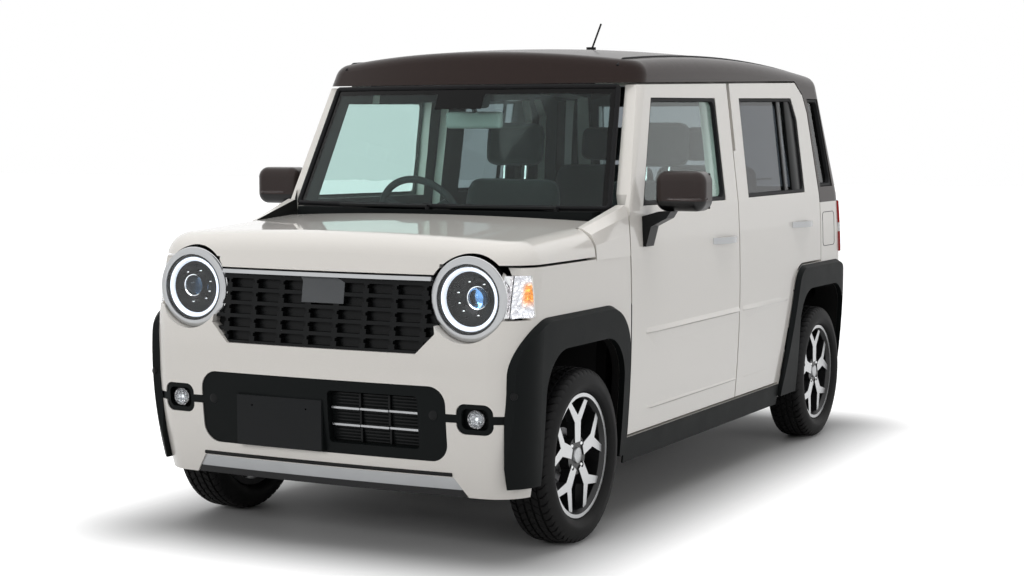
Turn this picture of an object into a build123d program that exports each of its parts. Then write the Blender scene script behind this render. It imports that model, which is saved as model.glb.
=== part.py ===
import os
from math import cos, radians, sin
from build123d import *

os.makedirs("parts", exist_ok=True)

# Driving dimensions in millimetres: +X forward, +Y to the car's left, +Z up from the road
LENGTH = 3395
WIDTH = 1475
ROOF_HEIGHT = 1680
WHEELBASE = 2460
FRONT_OVERHANG = 487
TRACK = 1295
TYRE_RADIUS = 289.5
TYRE_WIDTH = 165
RIM_RADIUS = 206
BELT_HEIGHT = 1075
WAIST_HEIGHT = 640
FLOOR_HEIGHT = 230
DOOR_THICKNESS = 56
WALL_THICKNESS = 100
SHUT_GAP = 7.5
WING_GAP = 9.5
FIT_GAP = 0.3
MOULDING_PROUD = 21.5
BONNET_THICKNESS = 26
ARCH_HALF_WIDTH = 302
ARCH_TOP = 662
LAMP_RADIUS = 135
HINGE_SETBACK = 40
HINGE_DEPTH = 14
PIN_RADIUS = 5
SPINDLE_RADIUS = 17.9
RUNNING_FIT = 0.1
PLATE_BOLT_SPACING = 210
PLATE_BOLT_RADIUS = 3.25
PLATE_CENTRE_Y = -150

front_axle_x = LENGTH / 2 - FRONT_OVERHANG
rear_axle_x = front_axle_x - WHEELBASE
body_half = WIDTH / 2 - MOULDING_PROUD
wheel_y = TRACK / 2
frame_inset = DOOR_THICKNESS + 8
kingpin_y = wheel_y - 47.5

# Plan outlines of the body by height: front and rear on the centre line, half width, bow of front and rear
body_rows = [
    dict(z=205, front=1650, rear=-1645, half=body_half - 26, bow_front=30, bow_rear=40),
    dict(z=WAIST_HEIGHT, front=LENGTH / 2 - 1.7, rear=-1675, half=body_half, bow_front=32, bow_rear=40),
    dict(z=BELT_HEIGHT, front=1606, rear=-1650, half=body_half - 10, bow_front=52, bow_rear=40),
]
# The glass house runs straight from the belt to above the roof, which trims it
glass_rows = [
    dict(z=BELT_HEIGHT, front=937, rear=-1650, half=body_half - 10, bow_front=112, bow_rear=40, corner=50),
    dict(z=1720, front=626, rear=-1451, half=body_half - 87, bow_front=104, bow_rear=40, corner=104),
]


def plan_outline(row, inset, front_radius, rear_radius):
    front = row["front"] - inset
    rear = row["rear"] + inset
    half = row["half"] - inset
    front_corner = front - row["bow_front"]
    rear_corner = rear + row["bow_rear"]
    with BuildSketch(Plane.XY.offset(row["z"])) as outline:
        with BuildLine():
            ThreePointArc((front_corner, -half), (front, 0), (front_corner, half))
            Line((front_corner, half), (rear_corner, half))
            ThreePointArc((rear_corner, half), (rear, 0), (rear_corner, -half))
            Line((rear_corner, -half), (front_corner, -half))
        make_face()
        fillet(outline.vertices().group_by(Axis.X)[-1], front_radius)
        fillet(outline.vertices().group_by(Axis.X)[0], rear_radius)
    return outline.sketch


def side_prism(points, y_from, y_to, grow=0):
    with BuildPart() as prism:
        with BuildSketch(Plane.XZ.offset(-y_from)):
            with BuildLine():
                Polyline(*points, close=True)
            make_face()
            if grow:
                offset(amount=grow, kind=Kind.INTERSECTION)
        extrude(amount=y_from - y_to)
    return prism.part


def front_prism(points, x_from, x_to, grow=0):
    with BuildPart() as prism:
        with BuildSketch(Plane.YZ.offset(x_from)):
            with BuildLine():
                Polyline(*points, close=True)
            make_face()
            if grow:
                offset(amount=grow, kind=Kind.INTERSECTION)
        extrude(amount=x_to - x_from)
    return prism.part


def front_slots(rows, x_from, x_to, grow=0):
    # Rounded openings in front view, each row has its centre, size and corner radius
    with BuildPart() as prism:
        with BuildSketch(Plane.YZ.offset(x_from)):
            for y, z, wide, high, corner in rows:
                with Locations((y, z)):
                    RectangleRounded(wide + 2 * grow, high + 2 * grow, corner + grow)
        extrude(amount=x_to - x_from)
    return prism.part


def arch_prism(points, radii, y_from, y_to, grow=0, bevel_from=None):
    # Outline of a wheel arch: foot, two upper corners and foot; the bevel narrows it outward
    with BuildPart() as prism:
        with BuildSketch(Plane.XZ.offset(-y_from)) as outline:
            with BuildLine():
                Polyline(*points, close=True)
            make_face()
            corners = outline.vertices().group_by(Axis.Y)[-1].sort_by(Axis.X)
            fillet(corners[0], radii[0])
            far_x, far_z = points[2]
            far = outline.vertices().sort_by(lambda v: (v.X - far_x) ** 2 + (v.Y - far_z) ** 2)[0]
            fillet(far, radii[1])
            if grow:
                offset(amount=grow, kind=Kind.ARC)
        if bevel_from is None:
            extrude(amount=y_from - y_to)
        else:
            extrude(amount=y_from - bevel_from)
            with BuildSketch(Plane.XZ.offset(-bevel_from)):
                add(outline.sketch.moved(Location((0, bevel_from - y_from, 0))))
            extrude(amount=bevel_from - y_to, taper=30)
    return prism.part


def block(x_range, y_range, z_range):
    with BuildPart() as solid:
        with BuildSketch(Plane.XY.offset(z_range[0])):
            with BuildLine():
                Polyline(
                    (x_range[0], y_range[0]), (x_range[1], y_range[0]),
                    (x_range[1], y_range[1]), (x_range[0], y_range[1]), close=True,
                )
            make_face()
        extrude(amount=z_range[1] - z_range[0])
    return solid.part


def rod(start, end, radius):
    with BuildPart() as solid:
        with BuildSketch(Plane(origin=start, z_dir=Vector(*end) - Vector(*start))):
            Circle(radius)
        extrude(amount=(Vector(*end) - Vector(*start)).length)
    return solid.part


def compose(first, keep=None, cuts=(), joins=()):
    with BuildPart() as solid:
        add(first)
        if keep is not None:
            add(keep, mode=Mode.INTERSECT)
        for piece in joins:
            add(piece)
        for piece in cuts:
            add(piece, mode=Mode.SUBTRACT)
    return solid.part


def both_sides(piece):
    with BuildPart() as pair:
        add(piece)
        mirror(piece, about=Plane.XZ)
    return pair.part


def lower_body(inset):
    outlines = [
        plan_outline(row, inset, max(130 - inset, 20), max(140 - inset, 20)) for row in body_rows
    ]
    with BuildPart() as solid:
        loft(sections=outlines)
    return solid.part


def roof_crown(inset):
    # One arc along the car, turned about a far axis below to bow the roof across
    sweep = 4200
    lean = radians(12)
    start = Plane(
        origin=(0, 0, ROOF_HEIGHT - inset - sweep), x_dir=(1, 0, 0), z_dir=(0, -cos(lean), sin(lean))
    )
    with BuildPart() as solid:
        with BuildSketch(start):
            with BuildLine():
                edge = ThreePointArc((1100, sweep - 82), (-350, sweep), (-1800, sweep - 82))
                Polyline(edge @ 1, (-1800, sweep - 900), (1100, sweep - 900), edge @ 0)
            make_face()
        revolve(axis=Axis(start.origin, (1, 0, 0)), revolution_arc=24)
    return solid.part


def glass_house(inset, edge_radius=0):
    outlines = [
        plan_outline(row, inset, max(row["corner"] - inset, 12), max(140 - inset, 20)) for row in glass_rows
    ]
    with BuildPart() as solid:
        loft(sections=outlines, ruled=True)
        add(roof_crown(inset), mode=Mode.INTERSECT)
        if edge_radius:
            fillet(solid.faces().sort_by(Axis.Z)[-1].edges(), edge_radius)
    return solid.part


def nose_body(inset, edge_radius):
    # The bonnet top falls gently forward and is bowed across
    fall = Plane(origin=(945, 0, 1062 - inset), x_dir=(0, 1, 0), z_dir=(555, 0, -30))
    with BuildPart() as solid:
        add(lower_body(inset))
        with BuildSketch(fall):
            with Locations((0, -9000)):
                Circle(9000)
        extrude(amount=1200, both=True, mode=Mode.INTERSECT)
        add(block((790, 2000), (-900, 900), (0, 2000)), mode=Mode.INTERSECT)
        top = solid.faces().sort_by(Axis.Z)[-1]
        fillet(top.edges().filter_by(lambda edge: edge.center().X > 800), edge_radius)
    return solid.part


def front_low(inset):
    return compose(lower_body(inset), keep=block((1400, 1800), (-900, 900), (0, 1000)))


def inner_form(inset):
    return compose(lower_body(inset), joins=[glass_house(inset)])


def door_front(z):
    # Leading edge of the front door
    return 806 + 9 * (z - 300) / 762


def roof_line(x):
    return 1523 + (640 - x) * 0.0265


def finish(piece, name):
    piece.label = name
    export_step(piece, "parts/" + name + ".step")


# Envelopes shared by the panels
outer_form = compose(lower_body(0), joins=[glass_house(0, 62)])
door_form = inner_form(DOOR_THICKNESS)
roof_form = inner_form(frame_inset - FIT_GAP)
frame_form = inner_form(frame_inset)
cabin_form = inner_form(WALL_THICKNESS)
nose_outer = nose_body(0, 90)
nose_inner = nose_body(BONNET_THICKNESS, 64)
skin_low = lower_body(-FIT_GAP)
moulding_low = lower_body(-MOULDING_PROUD)

# Side view outlines
front_door_edge = [
    (806, 300), (815, 1062), (604, roof_line(604) - SHUT_GAP), (-246, roof_line(-246) - SHUT_GAP),
    (-246, 300),
]
rear_door_edge = [
    (-254, 300), (-254, roof_line(-254) - SHUT_GAP), (-1080, roof_line(-1080) - SHUT_GAP), (-1168, 1506),
    (-1206, 1430), (-1266, 1040), (-1266, 500), (-860, 300),
]
front_window = [(690, 1092), (523, 1472), (-110, 1480), (-118, 1086)]
rear_window = [(-372, 1088), (-372, 1484), (-1010, 1494), (-1062, 1400), (-1075, 1090)]
quarter_window = [(-1222, 1495), (-1374, 1495), (-1462, 1108), (-1290, 1108)]
front_arch_outer = [(858, 150), (848, 770), (1650, 770), (1650, 150)]
rear_arch_outer = [
    (rear_axle_x - 525, 150), (rear_axle_x - 303, 779), (rear_axle_x + 303, 779),
    (rear_axle_x + 525, 150),
]
front_opening = [
    (front_axle_x - ARCH_HALF_WIDTH, 100), (front_axle_x - ARCH_HALF_WIDTH, ARCH_TOP),
    (front_axle_x + ARCH_HALF_WIDTH, ARCH_TOP), (front_axle_x + ARCH_HALF_WIDTH, 100),
]
rear_opening = [
    (rear_axle_x - ARCH_HALF_WIDTH, 100), (rear_axle_x - ARCH_HALF_WIDTH, ARCH_TOP + 12),
    (rear_axle_x + ARCH_HALF_WIDTH, ARCH_TOP + 12), (rear_axle_x + ARCH_HALF_WIDTH, 100),
]
front_aperture = [
    (735, 330), (742, 1030), (560, roof_line(560) - 70), (-182, roof_line(-182) - 70), (-182, 330),
]
rear_aperture = [
    (-335, 330), (-335, roof_line(-335) - 70), (-1040, roof_line(-1040) - 70), (-1120, 1420), (-1180, 1040),
    (-1180, 860), (-960, 800), (-800, 330),
]
brown_edge = [
    (1100, roof_line(1100)), (-1080, roof_line(-1080)), (-1180, 1460), (-1258, 1040), (-1800, 1040),
    (-1800, 1800), (1100, 1800),
]
fender_zone = [(806 + SHUT_GAP, 150), (815 + SHUT_GAP, 1062), (806, 1100), (2000, 1100), (2000, 150)]
screen_edge = [(-646, 1040), (646, 1040), (584, 1512), (-584, 1512)]
tailgate_edge = [(-540, 655), (540, 655), (562, 1000), (512, 1572), (-512, 1572), (-562, 1000)]
tailgate_window = [(-492, 1098), (492, 1098), (452, 1470), (-452, 1470)]

rear_arch_gap = arch_prism(rear_arch_outer, (110, 110), 300, 900, grow=SHUT_GAP + 1.5)
front_door_gap = side_prism(front_door_edge, 300, 900, grow=SHUT_GAP)
rear_door_gap = compose(
    side_prism(rear_door_edge, 300, 900, grow=SHUT_GAP),
    cuts=[arch_prism(rear_arch_outer, (110, 110), 300, 900)],
)
front_wheel_hole = arch_prism(front_opening, (150, 150), 300, 900)
rear_wheel_hole = arch_prism(rear_opening, (150, 150), 300, 900)

# Door hinges: pins on arms of the body side, in pockets of the doors
door_hinges = [
    dict(door="front", x=806 - HINGE_SETBACK, z=500),
    dict(door="front", x=806 - HINGE_SETBACK, z=900),
    dict(door="rear", x=-254 - HINGE_SETBACK, z=500),
    dict(door="rear", x=-254 - HINGE_SETBACK, z=900),
]
hinge_y = body_half - 4 - HINGE_DEPTH
hinge_arms = []
hinge_pockets = {"front": [], "rear": []}
for hinge in door_hinges:
    x, z = hinge["x"], hinge["z"]
    hinge_arms.append(block((x - PIN_RADIUS, x + PIN_RADIUS), (body_half - 96, hinge_y), (z - 16, z + 16)))
    hinge_arms.append(rod((x, hinge_y, z - 44), (x, hinge_y, z + 44), PIN_RADIUS))
    hinge_pockets[hinge["door"]].append(
        block((x - 12, x + HINGE_SETBACK + 12), (500, hinge_y + 8), (z - 28, z + 28))
    )
    hinge_pockets[hinge["door"]].append(
        rod((x, hinge_y, z - 46), (x, hinge_y, z + 46), PIN_RADIUS + RUNNING_FIT)
    )

# Body side: pillars, sill, cant rail and rear quarter in one frame
side_region = block((-1700, 884), (470, 900), (235, 1700))
screen_gap = front_prism(screen_edge, 380, 1300, grow=FIT_GAP)
side_cuts = [cabin_form]
for zone in (
    front_door_gap, rear_door_gap, side_prism(fender_zone, 300, 900), side_prism(brown_edge, 300, 900),
):
    side_cuts.append(compose(zone, cuts=[frame_form]))
side_cuts += [
    side_prism(front_aperture, 300, 900),
    side_prism(rear_aperture, 300, 900),
    side_prism(quarter_window, 300, 900, grow=2),
    rear_wheel_hole,
    screen_gap,
    front_prism(tailgate_edge, -2000, -1200, grow=-40),
    compose(
        rod((766, hinge_y, 250), (766, hinge_y, 1140), 58), keep=block((700, 830), (600, 664), (240, 1150)),
    ),
    compose(front_prism(tailgate_edge, -2000, -1300, grow=SHUT_GAP), cuts=[frame_form]),
]
body_side_left = compose(compose(outer_form, keep=side_region, cuts=side_cuts), joins=hinge_arms)
body_side_left = compose(body_side_left.solids().sort_by(lambda piece: piece.volume)[-1])
finish(body_side_left, "body_side_left")
finish(mirror(body_side_left, about=Plane.XZ), "body_side_right")

# Doors with window openings, glass, pressed ledges and hinge pockets
# Each ledge is a row of sections: x, how far it stands proud, and how far down it fades out
ledge_rows = {
    "front": [
        dict(z=650, sections=[(684, 0.4, 20), (600, 5, 90), (-240, 3.6, 70)]),
        dict(z=377, sections=[(682, 0.4, 16), (610, 4.5, 60), (-240, 3, 50)]),
    ],
    "rear": [
        dict(z=650, sections=[(-285, 0.4, 50), (-340, 3.4, 66), (-700, 2.4, 40), (-835, 0.4, 12)]),
        dict(z=377, sections=[(-285, 0.4, 40), (-340, 2.8, 46), (-610, 2, 30), (-717, 0.4, 10)]),
    ],
}


def skin_y(z):
    # Half width of the outer skin between the table's rows
    if z < WAIST_HEIGHT:
        return body_half - 26 * (WAIST_HEIGHT - z) / (WAIST_HEIGHT - 205)
    return body_half - 10 * (z - WAIST_HEIGHT) / (BELT_HEIGHT - WAIST_HEIGHT)


def door_ledge(z, sections):
    with BuildPart() as ledge:
        for x, proud, fade in sections:
            with BuildSketch(Plane(origin=(x, 0, 0), x_dir=(0, 1, 0), z_dir=(1, 0, 0))):
                with BuildLine():
                    Polyline(
                        (skin_y(z + 5) - 6, z + 5), (skin_y(z + 5) - 0.2, z + 5), (skin_y(z) + proud, z - 2),
                        (skin_y(z - fade) - 0.2, z - fade), (skin_y(z - fade) - 6, z - fade), close=True,
                    )
                make_face()
        loft(ruled=True)
    return ledge.part


door_cuts = {
    "front": [side_prism(front_window, 300, 900), block((806 - 24, 900), (300, body_half - 34), (250, 1140))],
    "rear": [
        side_prism(rear_window, 300, 900), block((-254 - 24, -200), (300, body_half - 34), (250, 1560)),
        rear_arch_gap,
    ],
}
door_core = front_prism(
    [
        (0, 200), (body_half - 84, 205), (body_half - 57, WAIST_HEIGHT), (body_half - 67, BELT_HEIGHT),
        (body_half - 124, 1546), (0, 1546),
    ], -2000, 2000,
)
door_edges = {"front": front_door_edge, "rear": rear_door_edge}
windows = {"front": front_window, "rear": rear_window}
pane_outer = glass_house(18)
pane_inner = glass_house(23)
for row in ("front", "rear"):
    leaf = compose(
        outer_form,
        keep=side_prism(door_edges[row], 400, 900),
        cuts=[door_form, door_core] + door_cuts[row] + hinge_pockets[row],
    )
    ledges = [door_ledge(ledge["z"], ledge["sections"]) for ledge in ledge_rows[row]]
    leaf = compose(
        leaf, joins=[compose(ledge, keep=side_prism(door_edges[row], 400, 900)) for ledge in ledges],
    )
    pane = compose(pane_outer, keep=side_prism(windows[row], 400, 900, grow=-FIT_GAP), cuts=[pane_inner])
    finish(leaf, "door_" + row + "_left")
    finish(mirror(leaf, about=Plane.XZ), "door_" + row + "_right")
    finish(pane, "window_" + row + "_left")
    finish(mirror(pane, about=Plane.XZ), "window_" + row + "_right")

# Tailgate hinges: pins on arms under the rear of the roof, in pockets of the tailgate
gate_pin = dict(x=-1479, z=1543)
gate_arms = []
gate_pockets = []
for y in (380, -380):
    gate_arms.append(
        block(
            (gate_pin["x"], -1395), (y - 8, y + 8),
            (gate_pin["z"] - PIN_RADIUS, gate_pin["z"] + PIN_RADIUS),
        )
    )
    gate_arms.append(block((-1420, -1395), (y - 8, y + 8), (gate_pin["z"] - PIN_RADIUS, 1590)))
    gate_arms.append(
        rod((gate_pin["x"], y - 28, gate_pin["z"]), (gate_pin["x"], y + 28, gate_pin["z"]), PIN_RADIUS)
    )
    gate_pockets.append(block((gate_pin["x"] - 8, -1300), (y - 13, y + 13), (gate_pin["z"] - 12, 1600)))
    gate_pockets.append(
        rod(
            (gate_pin["x"], y - 30, gate_pin["z"]), (gate_pin["x"], y + 30, gate_pin["z"]),
            PIN_RADIUS + RUNNING_FIT,
        )
    )

# Roof with the brown rear pillars, front header and rear edge
roof = compose(
    outer_form,
    keep=side_prism(brown_edge, -900, 900),
    cuts=[
        roof_form,
        both_sides(front_door_gap),
        both_sides(rear_door_gap),
        both_sides(side_prism(quarter_window, 300, 900)),
        front_prism(screen_edge, 300, 1300, grow=FIT_GAP),
        front_prism(tailgate_edge, -2000, -1430, grow=SHUT_GAP),
    ],
)
roof = compose(roof, joins=gate_arms)
finish(roof, "roof_panel")

# Windscreen and quarter glass
screen = compose(
    glass_house(5), keep=front_prism(screen_edge, 300, 1300),
    cuts=[glass_house(11), block((-2000, 480), (-900, 900), (0, 2000))]
)
finish(screen, "windscreen")
quarter = compose(
    glass_house(20), keep=side_prism(quarter_window, 400, 900, grow=-FIT_GAP), cuts=[glass_house(25)]
)
finish(both_sides(quarter), "quarter_glass")

# Tailgate and its glass
tailgate = compose(
    outer_form,
    keep=front_prism(tailgate_edge, -2000, -1440),
    cuts=[inner_form(50), front_prism(tailgate_window, -2000, -1250)] + gate_pockets,
)
tailgate_pane = compose(
    glass_house(14), keep=front_prism(tailgate_window, -2000, -1250, grow=-FIT_GAP), cuts=[glass_house(20)]
)
finish(tailgate, "tailgate")
finish(tailgate_pane, "tailgate_glass")

# Nose: lamp holes, grille field and bumper openings
lamp_places = [(526, 830), (-526, 830)]


def lamp_holes(radius):
    with BuildPart() as holes:
        with BuildSketch(Plane.YZ.offset(1400)):
            with Locations(*lamp_places):
                Circle(radius)
        extrude(amount=500)
    return holes.part


lamp_pod = [(1552, 776), (1552, 905), (1800, 905), (1800, 776)]
pod_gap = both_sides(side_prism(lamp_pod, 590, 900, grow=FIT_GAP))
bonnet_keep = compose(
    block((1108, 1800), (-900, 900), (937, 1200)),
    joins=[block((860, 1500), (-636, 636), (900, 1200)), block((1400, 1800), (-420, 420), (903, 1200))],
)
with BuildPart() as cowl_edge:
    with BuildSketch(Plane.XY.offset(800)):
        with BuildLine():
            arc = ThreePointArc((880, 720), (978, 0), (880, -720))
            Polyline(arc @ 1, (700, -720), (700, 720), arc @ 0)
        make_face()
    extrude(amount=500)
bonnet_pin = dict(x=1000, z=1029)
bonnet_arms = []
bonnet_pockets = []
for y in (550, -550):
    x, z = bonnet_pin["x"], bonnet_pin["z"]
    bonnet_arms.append(block((x - PIN_RADIUS, x + PIN_RADIUS), (y - 8, y + 8), (940, z)))
    bonnet_arms.append(block((870, x + PIN_RADIUS), (y - 8, y + 8), (930, 955)))
    bonnet_arms.append(rod((x, y - 28, z), (x, y + 28, z), PIN_RADIUS))
    bonnet_pockets.append(block((860, x + 12), (y - 13, y + 13), (950, z + 7)))
    bonnet_pockets.append(rod((x, y - 30, z), (x, y + 30, z), PIN_RADIUS + RUNNING_FIT))
bonnet = compose(
    nose_outer, keep=bonnet_keep,
    cuts=bonnet_pockets + [
        nose_inner, cowl_edge.part, lamp_holes(LAMP_RADIUS + SHUT_GAP),
        both_sides(side_prism(lamp_pod, 590, 900, grow=SHUT_GAP)),
    ],
)
finish(bonnet, "bonnet")

# Front wings, with the upper rear corner that runs up to the pillar
with BuildPart() as wing_top:
    sections = []
    for x, points in (
        (1100, [(716, 925), (712, 975), (694, 1010), (660, 1030), (644, 1032), (644, 1000), (680, 925)]),
        (824, [(716, 925), (711, 1000), (706, 1062), (694, 1098), (660, 1098), (650, 1050), (650, 925)]),
    ):
        with BuildSketch(Plane.YZ.offset(x)) as section:
            with BuildLine():
                Polyline(*points, close=True)
            make_face()
        sections.append(section.sketch)
    loft(sections=sections, ruled=True)
wing_zone = [
    (door_front(235) + WING_GAP, 235), (door_front(929) + WING_GAP, 929), (1580, 929), (1580, 775),
    (1530, 740), (1530, 235),
]
wing = compose(
    nose_outer, keep=side_prism(wing_zone, 600, 900),
    cuts=[nose_inner, lamp_holes(LAMP_RADIUS + FIT_GAP), pod_gap, front_wheel_hole],
)
wing = compose(wing, joins=[compose(wing_top.part, cuts=[screen_gap, roof_form])])
finish(both_sides(wing), "front_wings")


# Bumper, its black insert with fog lamp pods, grille, chrome bar and skid plate
bumper_slots = [(0, 437, 932, 240, 60), (564, 460, 124, 96, 30), (-564, 460, 124, 96, 30)]
strip_slots = [(550, 460, 300, 26, 6), (-550, 460, 300, 26, 6)]
grille_edge = [(-398, 884), (398, 884), (424, 720), (360, 656), (-360, 656), (-424, 720)]
bumper_zone = [(1530 + FIT_GAP, 205), (1530 + FIT_GAP, 740), (1570, 768), (1800, 768), (1800, 205)]
skid_edge = [(-478, 268), (478, 268), (526, 200), (-526, 200)]
bumper = compose(
    front_low(0), keep=side_prism(bumper_zone, -900, 900),
    cuts=[
        front_low(40), lamp_holes(LAMP_RADIUS + FIT_GAP), pod_gap,
        front_prism(grille_edge, 1400, 1800, grow=FIT_GAP),
        front_prism(skid_edge, 1400, 1800, grow=FIT_GAP),
        front_slots(bumper_slots, 1400, 1800, grow=FIT_GAP),
        compose(front_slots(strip_slots, 1400, 1800, grow=FIT_GAP), cuts=[front_low(12)]),
    ],
)
bumper = compose(bumper, cuts=[both_sides(front_wheel_hole)])
finish(compose(bumper.solids().sort_by(lambda piece: piece.volume)[-1]), "front_bumper")
insert_low = front_low(4)
insert_field = compose(
    front_slots(bumper_slots, 1400, 1800),
    joins=[compose(front_slots(strip_slots, 1400, 1800), cuts=[front_low(12)])],
)
insert = compose(
    insert_low, keep=insert_field,
    cuts=[
        front_low(44),
        compose(front_slots([(200, 437, 330, 170, 14)], 1400, 1800), cuts=[front_low(34)]),
        compose(
            front_slots([(564, 460, 92, 66, 20), (-564, 460, 92, 66, 20)], 1400, 1800),
            cuts=[front_low(26)],
        ),
        both_sides(block((1400, 1800), (655, 900), (0, 900))),
    ],
)
plate_holes = [
    rod(
        (1650, PLATE_CENTRE_Y + side * PLATE_BOLT_SPACING / 2, 455),
        (1700, PLATE_CENTRE_Y + side * PLATE_BOLT_SPACING / 2, 455), PLATE_BOLT_RADIUS,
    )
    for side in (1, -1)
]
insert = compose(
    insert, joins=[block((1640, 1692), (PLATE_CENTRE_Y - 168, PLATE_CENTRE_Y + 168), (322, 490))],
    cuts=plate_holes
)
finish(
    compose(
        block((1692 + FIT_GAP, 1695), (PLATE_CENTRE_Y - 165, PLATE_CENTRE_Y + 165), (322.5, 487.5)),
        cuts=plate_holes
    ),
    "number_plate",
)
finish(insert, "bumper_insert")

# The grille follows a leaning drum with rows of notched pockets and a plain sensor panel at its top
GRILLE_DRUM = 6700


def grille_drum(depth):
    slope = Plane(origin=(1684, 0, 656), x_dir=(0, 1, 0), z_dir=(-36, 0, 228))
    with BuildPart() as drum:
        with BuildSketch(slope):
            with Locations((0, GRILLE_DRUM)):
                Circle(GRILLE_DRUM - depth)
        extrude(amount=300, both=True)
    return drum.part


cell_rows = [680 + 43 * n for n in range(5)]
with BuildPart() as cells:
    with BuildSketch(Plane.YZ.offset(1500)):
        for z in cell_rows:
            for column in range(-4, 5):
                with Locations((column * 107, z)):
                    Rectangle(86, 31)
                with Locations((column * 107, z + 6)):
                    Rectangle(99, 11)
    extrude(amount=300)
    add(front_prism([(-80, 800), (80, 800), (80, 900), (-80, 900)], 1500, 1800), mode=Mode.SUBTRACT)
    add(grille_drum(24), mode=Mode.SUBTRACT)
grille = compose(
    front_prism(grille_edge, 1560, 1800), keep=grille_drum(0),
    cuts=[grille_drum(40), lamp_holes(LAMP_RADIUS + FIT_GAP), cells.part],
)
finish(grille, "grille")
bar = compose(
    front_low(-4), keep=front_prism([(-398, 884.3), (398, 884.3), (398, 897), (-398, 897)], 1500, 1800),
    cuts=[front_low(40), lamp_holes(LAMP_RADIUS + FIT_GAP)],
)
finish(bar, "chrome_bar")
skid = compose(
    front_low(6), keep=front_prism(skid_edge, 1500, 1800),
    cuts=[front_low(30)],
)
finish(skid, "skid_plate")

# Headlamps: bezel and bowl turned outward with the nose, and the turn lamp at the corner
with BuildPart() as lamp:
    with BuildSketch(Plane.XY.offset(830)):
        with BuildLine():
            Polyline(
                (1560, 526), (1560, 526 + LAMP_RADIUS), (1634, 526 + LAMP_RADIUS),
                (1642, 526 + LAMP_RADIUS - 10),
                (1642, 526 + 116), (1632, 526 + 106), (1600, 526 + 90), (1585, 526 + 44), (1585, 526),
                close=True,
            )
        make_face()
    revolve(axis=Axis((0, 526, 830), (1, 0, 0)))
pod = compose(
    front_low(5), keep=side_prism(lamp_pod, 590, 900), cuts=[front_low(45), lamp_holes(LAMP_RADIUS)],
)
lamp_unit = compose(lamp.part, joins=[pod])
finish(both_sides(lamp_unit), "headlamps")
DOME_RIM = 110
DOME_RISE = 11
dome_radius = (DOME_RIM**2 + DOME_RISE**2) / (2 * DOME_RISE)
with BuildPart() as dome:
    with Locations((1653 - dome_radius, 526, 830)):
        Sphere(dome_radius, rotation=(0, 0, 180))
    add(rod((1637.5, 526, 830), (1660, 526, 830), DOME_RIM), mode=Mode.INTERSECT)
pod_lens = compose(front_low(0), keep=side_prism(lamp_pod, 664, 900), cuts=[front_low(4.7)])
finish(compose(both_sides(dome.part), joins=[both_sides(pod_lens)]), "headlamp_lenses")

# Fog lamps sit in the pods of the insert
fog = compose(rod((1600, 564, 460), (1666, 564, 460), 30), cuts=[front_low(26 - FIT_GAP)])
finish(both_sides(fog), "fog_lamps")

# Black mouldings: wheel arches and sills
front_moulding = compose(
    moulding_low,
    keep=arch_prism(front_arch_outer, (170, 180), 655, 900, bevel_from=body_half - 1),
    cuts=[skin_low, front_wheel_hole, block((0, 2000), (0, 900), (0, 240))],
)
rear_moulding = compose(
    moulding_low,
    keep=arch_prism(rear_arch_outer, (110, 110), 600, 900, bevel_from=body_half - 1),
    cuts=[
        skin_low, rear_wheel_hole, block((-2000, 0), (0, 900), (0, 240)),
        block((-2000, -1590), (0, 900), (0, 900)),
    ],
)
sill = compose(
    lower_body(-6), keep=block((-760, 840), (600, 900), (206, 290)),
    cuts=[
        skin_low, front_wheel_hole, arch_prism(front_arch_outer, (170, 180), 600, 900, grow=FIT_GAP),
        arch_prism(rear_arch_outer, (110, 110), 600, 900, grow=FIT_GAP),
    ],
)
finish(both_sides(compose(front_moulding, joins=[rear_moulding, sill])), "arch_mouldings")

# Rear bumper and tail lamps
rear_arch_seat = arch_prism(rear_arch_outer, (110, 110), 300, 900, grow=FIT_GAP)
rear_bumper = compose(
    lower_body(-22.5), keep=block((-1800, -1560), (-900, 900), (300, 640)),
    cuts=[skin_low, both_sides(rear_arch_seat)],
)
finish(rear_bumper, "rear_bumper")
tail_lamp = compose(
    lower_body(-9), keep=block((-1800, -1530), (585, 900), (811, 1040)), cuts=[skin_low]
)
finish(both_sides(tail_lamp), "tail_lamps")

# Underbody: floor, dash panel, heel board, rear floor, wheel houses, rails and rear panel
floor_region = lower_body(WALL_THICKNESS + FIT_GAP)
floor = compose(
    block((-850, 884), (-700, 700), (FLOOR_HEIGHT, FLOOR_HEIGHT + 34)), keep=floor_region,
    joins=[
        compose(block((-1600, -820), (-700, 700), (430, 464)), keep=floor_region),
        compose(block((-850, -820), (-700, 700), (FLOOR_HEIGHT, 464)), keep=floor_region),
        compose(block((850, 884), (-700, 700), (FLOOR_HEIGHT, 1000)), keep=floor_region),
        compose(block((-1574, -1540), (-470, 470), (300, 640)), keep=floor_region),
        block((850, 1570), (-385, -330), (330, 420)),
        block((850, 1570), (330, 385), (330, 420)),
        block((1570, 1610), (-480, 480), (360, 470)),
        block((1520, 1570), (-385, 385), (250, 800)),
        block((850, 900), (-600, 600), (960, 1000)),
        block((880, 1560), (-395, -385), (330, 760)),
        block((880, 1560), (385, 395), (330, 760)),
        block((1120, 1300), (385, 560), (730, 760)),
        block((1120, 1300), (-560, -385), (730, 760)),
    ],
    cuts=[
        both_sides(compose(rear_wheel_hole, keep=block((-2000, 0), (528, 900), (0, 900)))),
        block((1515, 1580), (-300, 300), (300, 740)),
    ],
)
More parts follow.
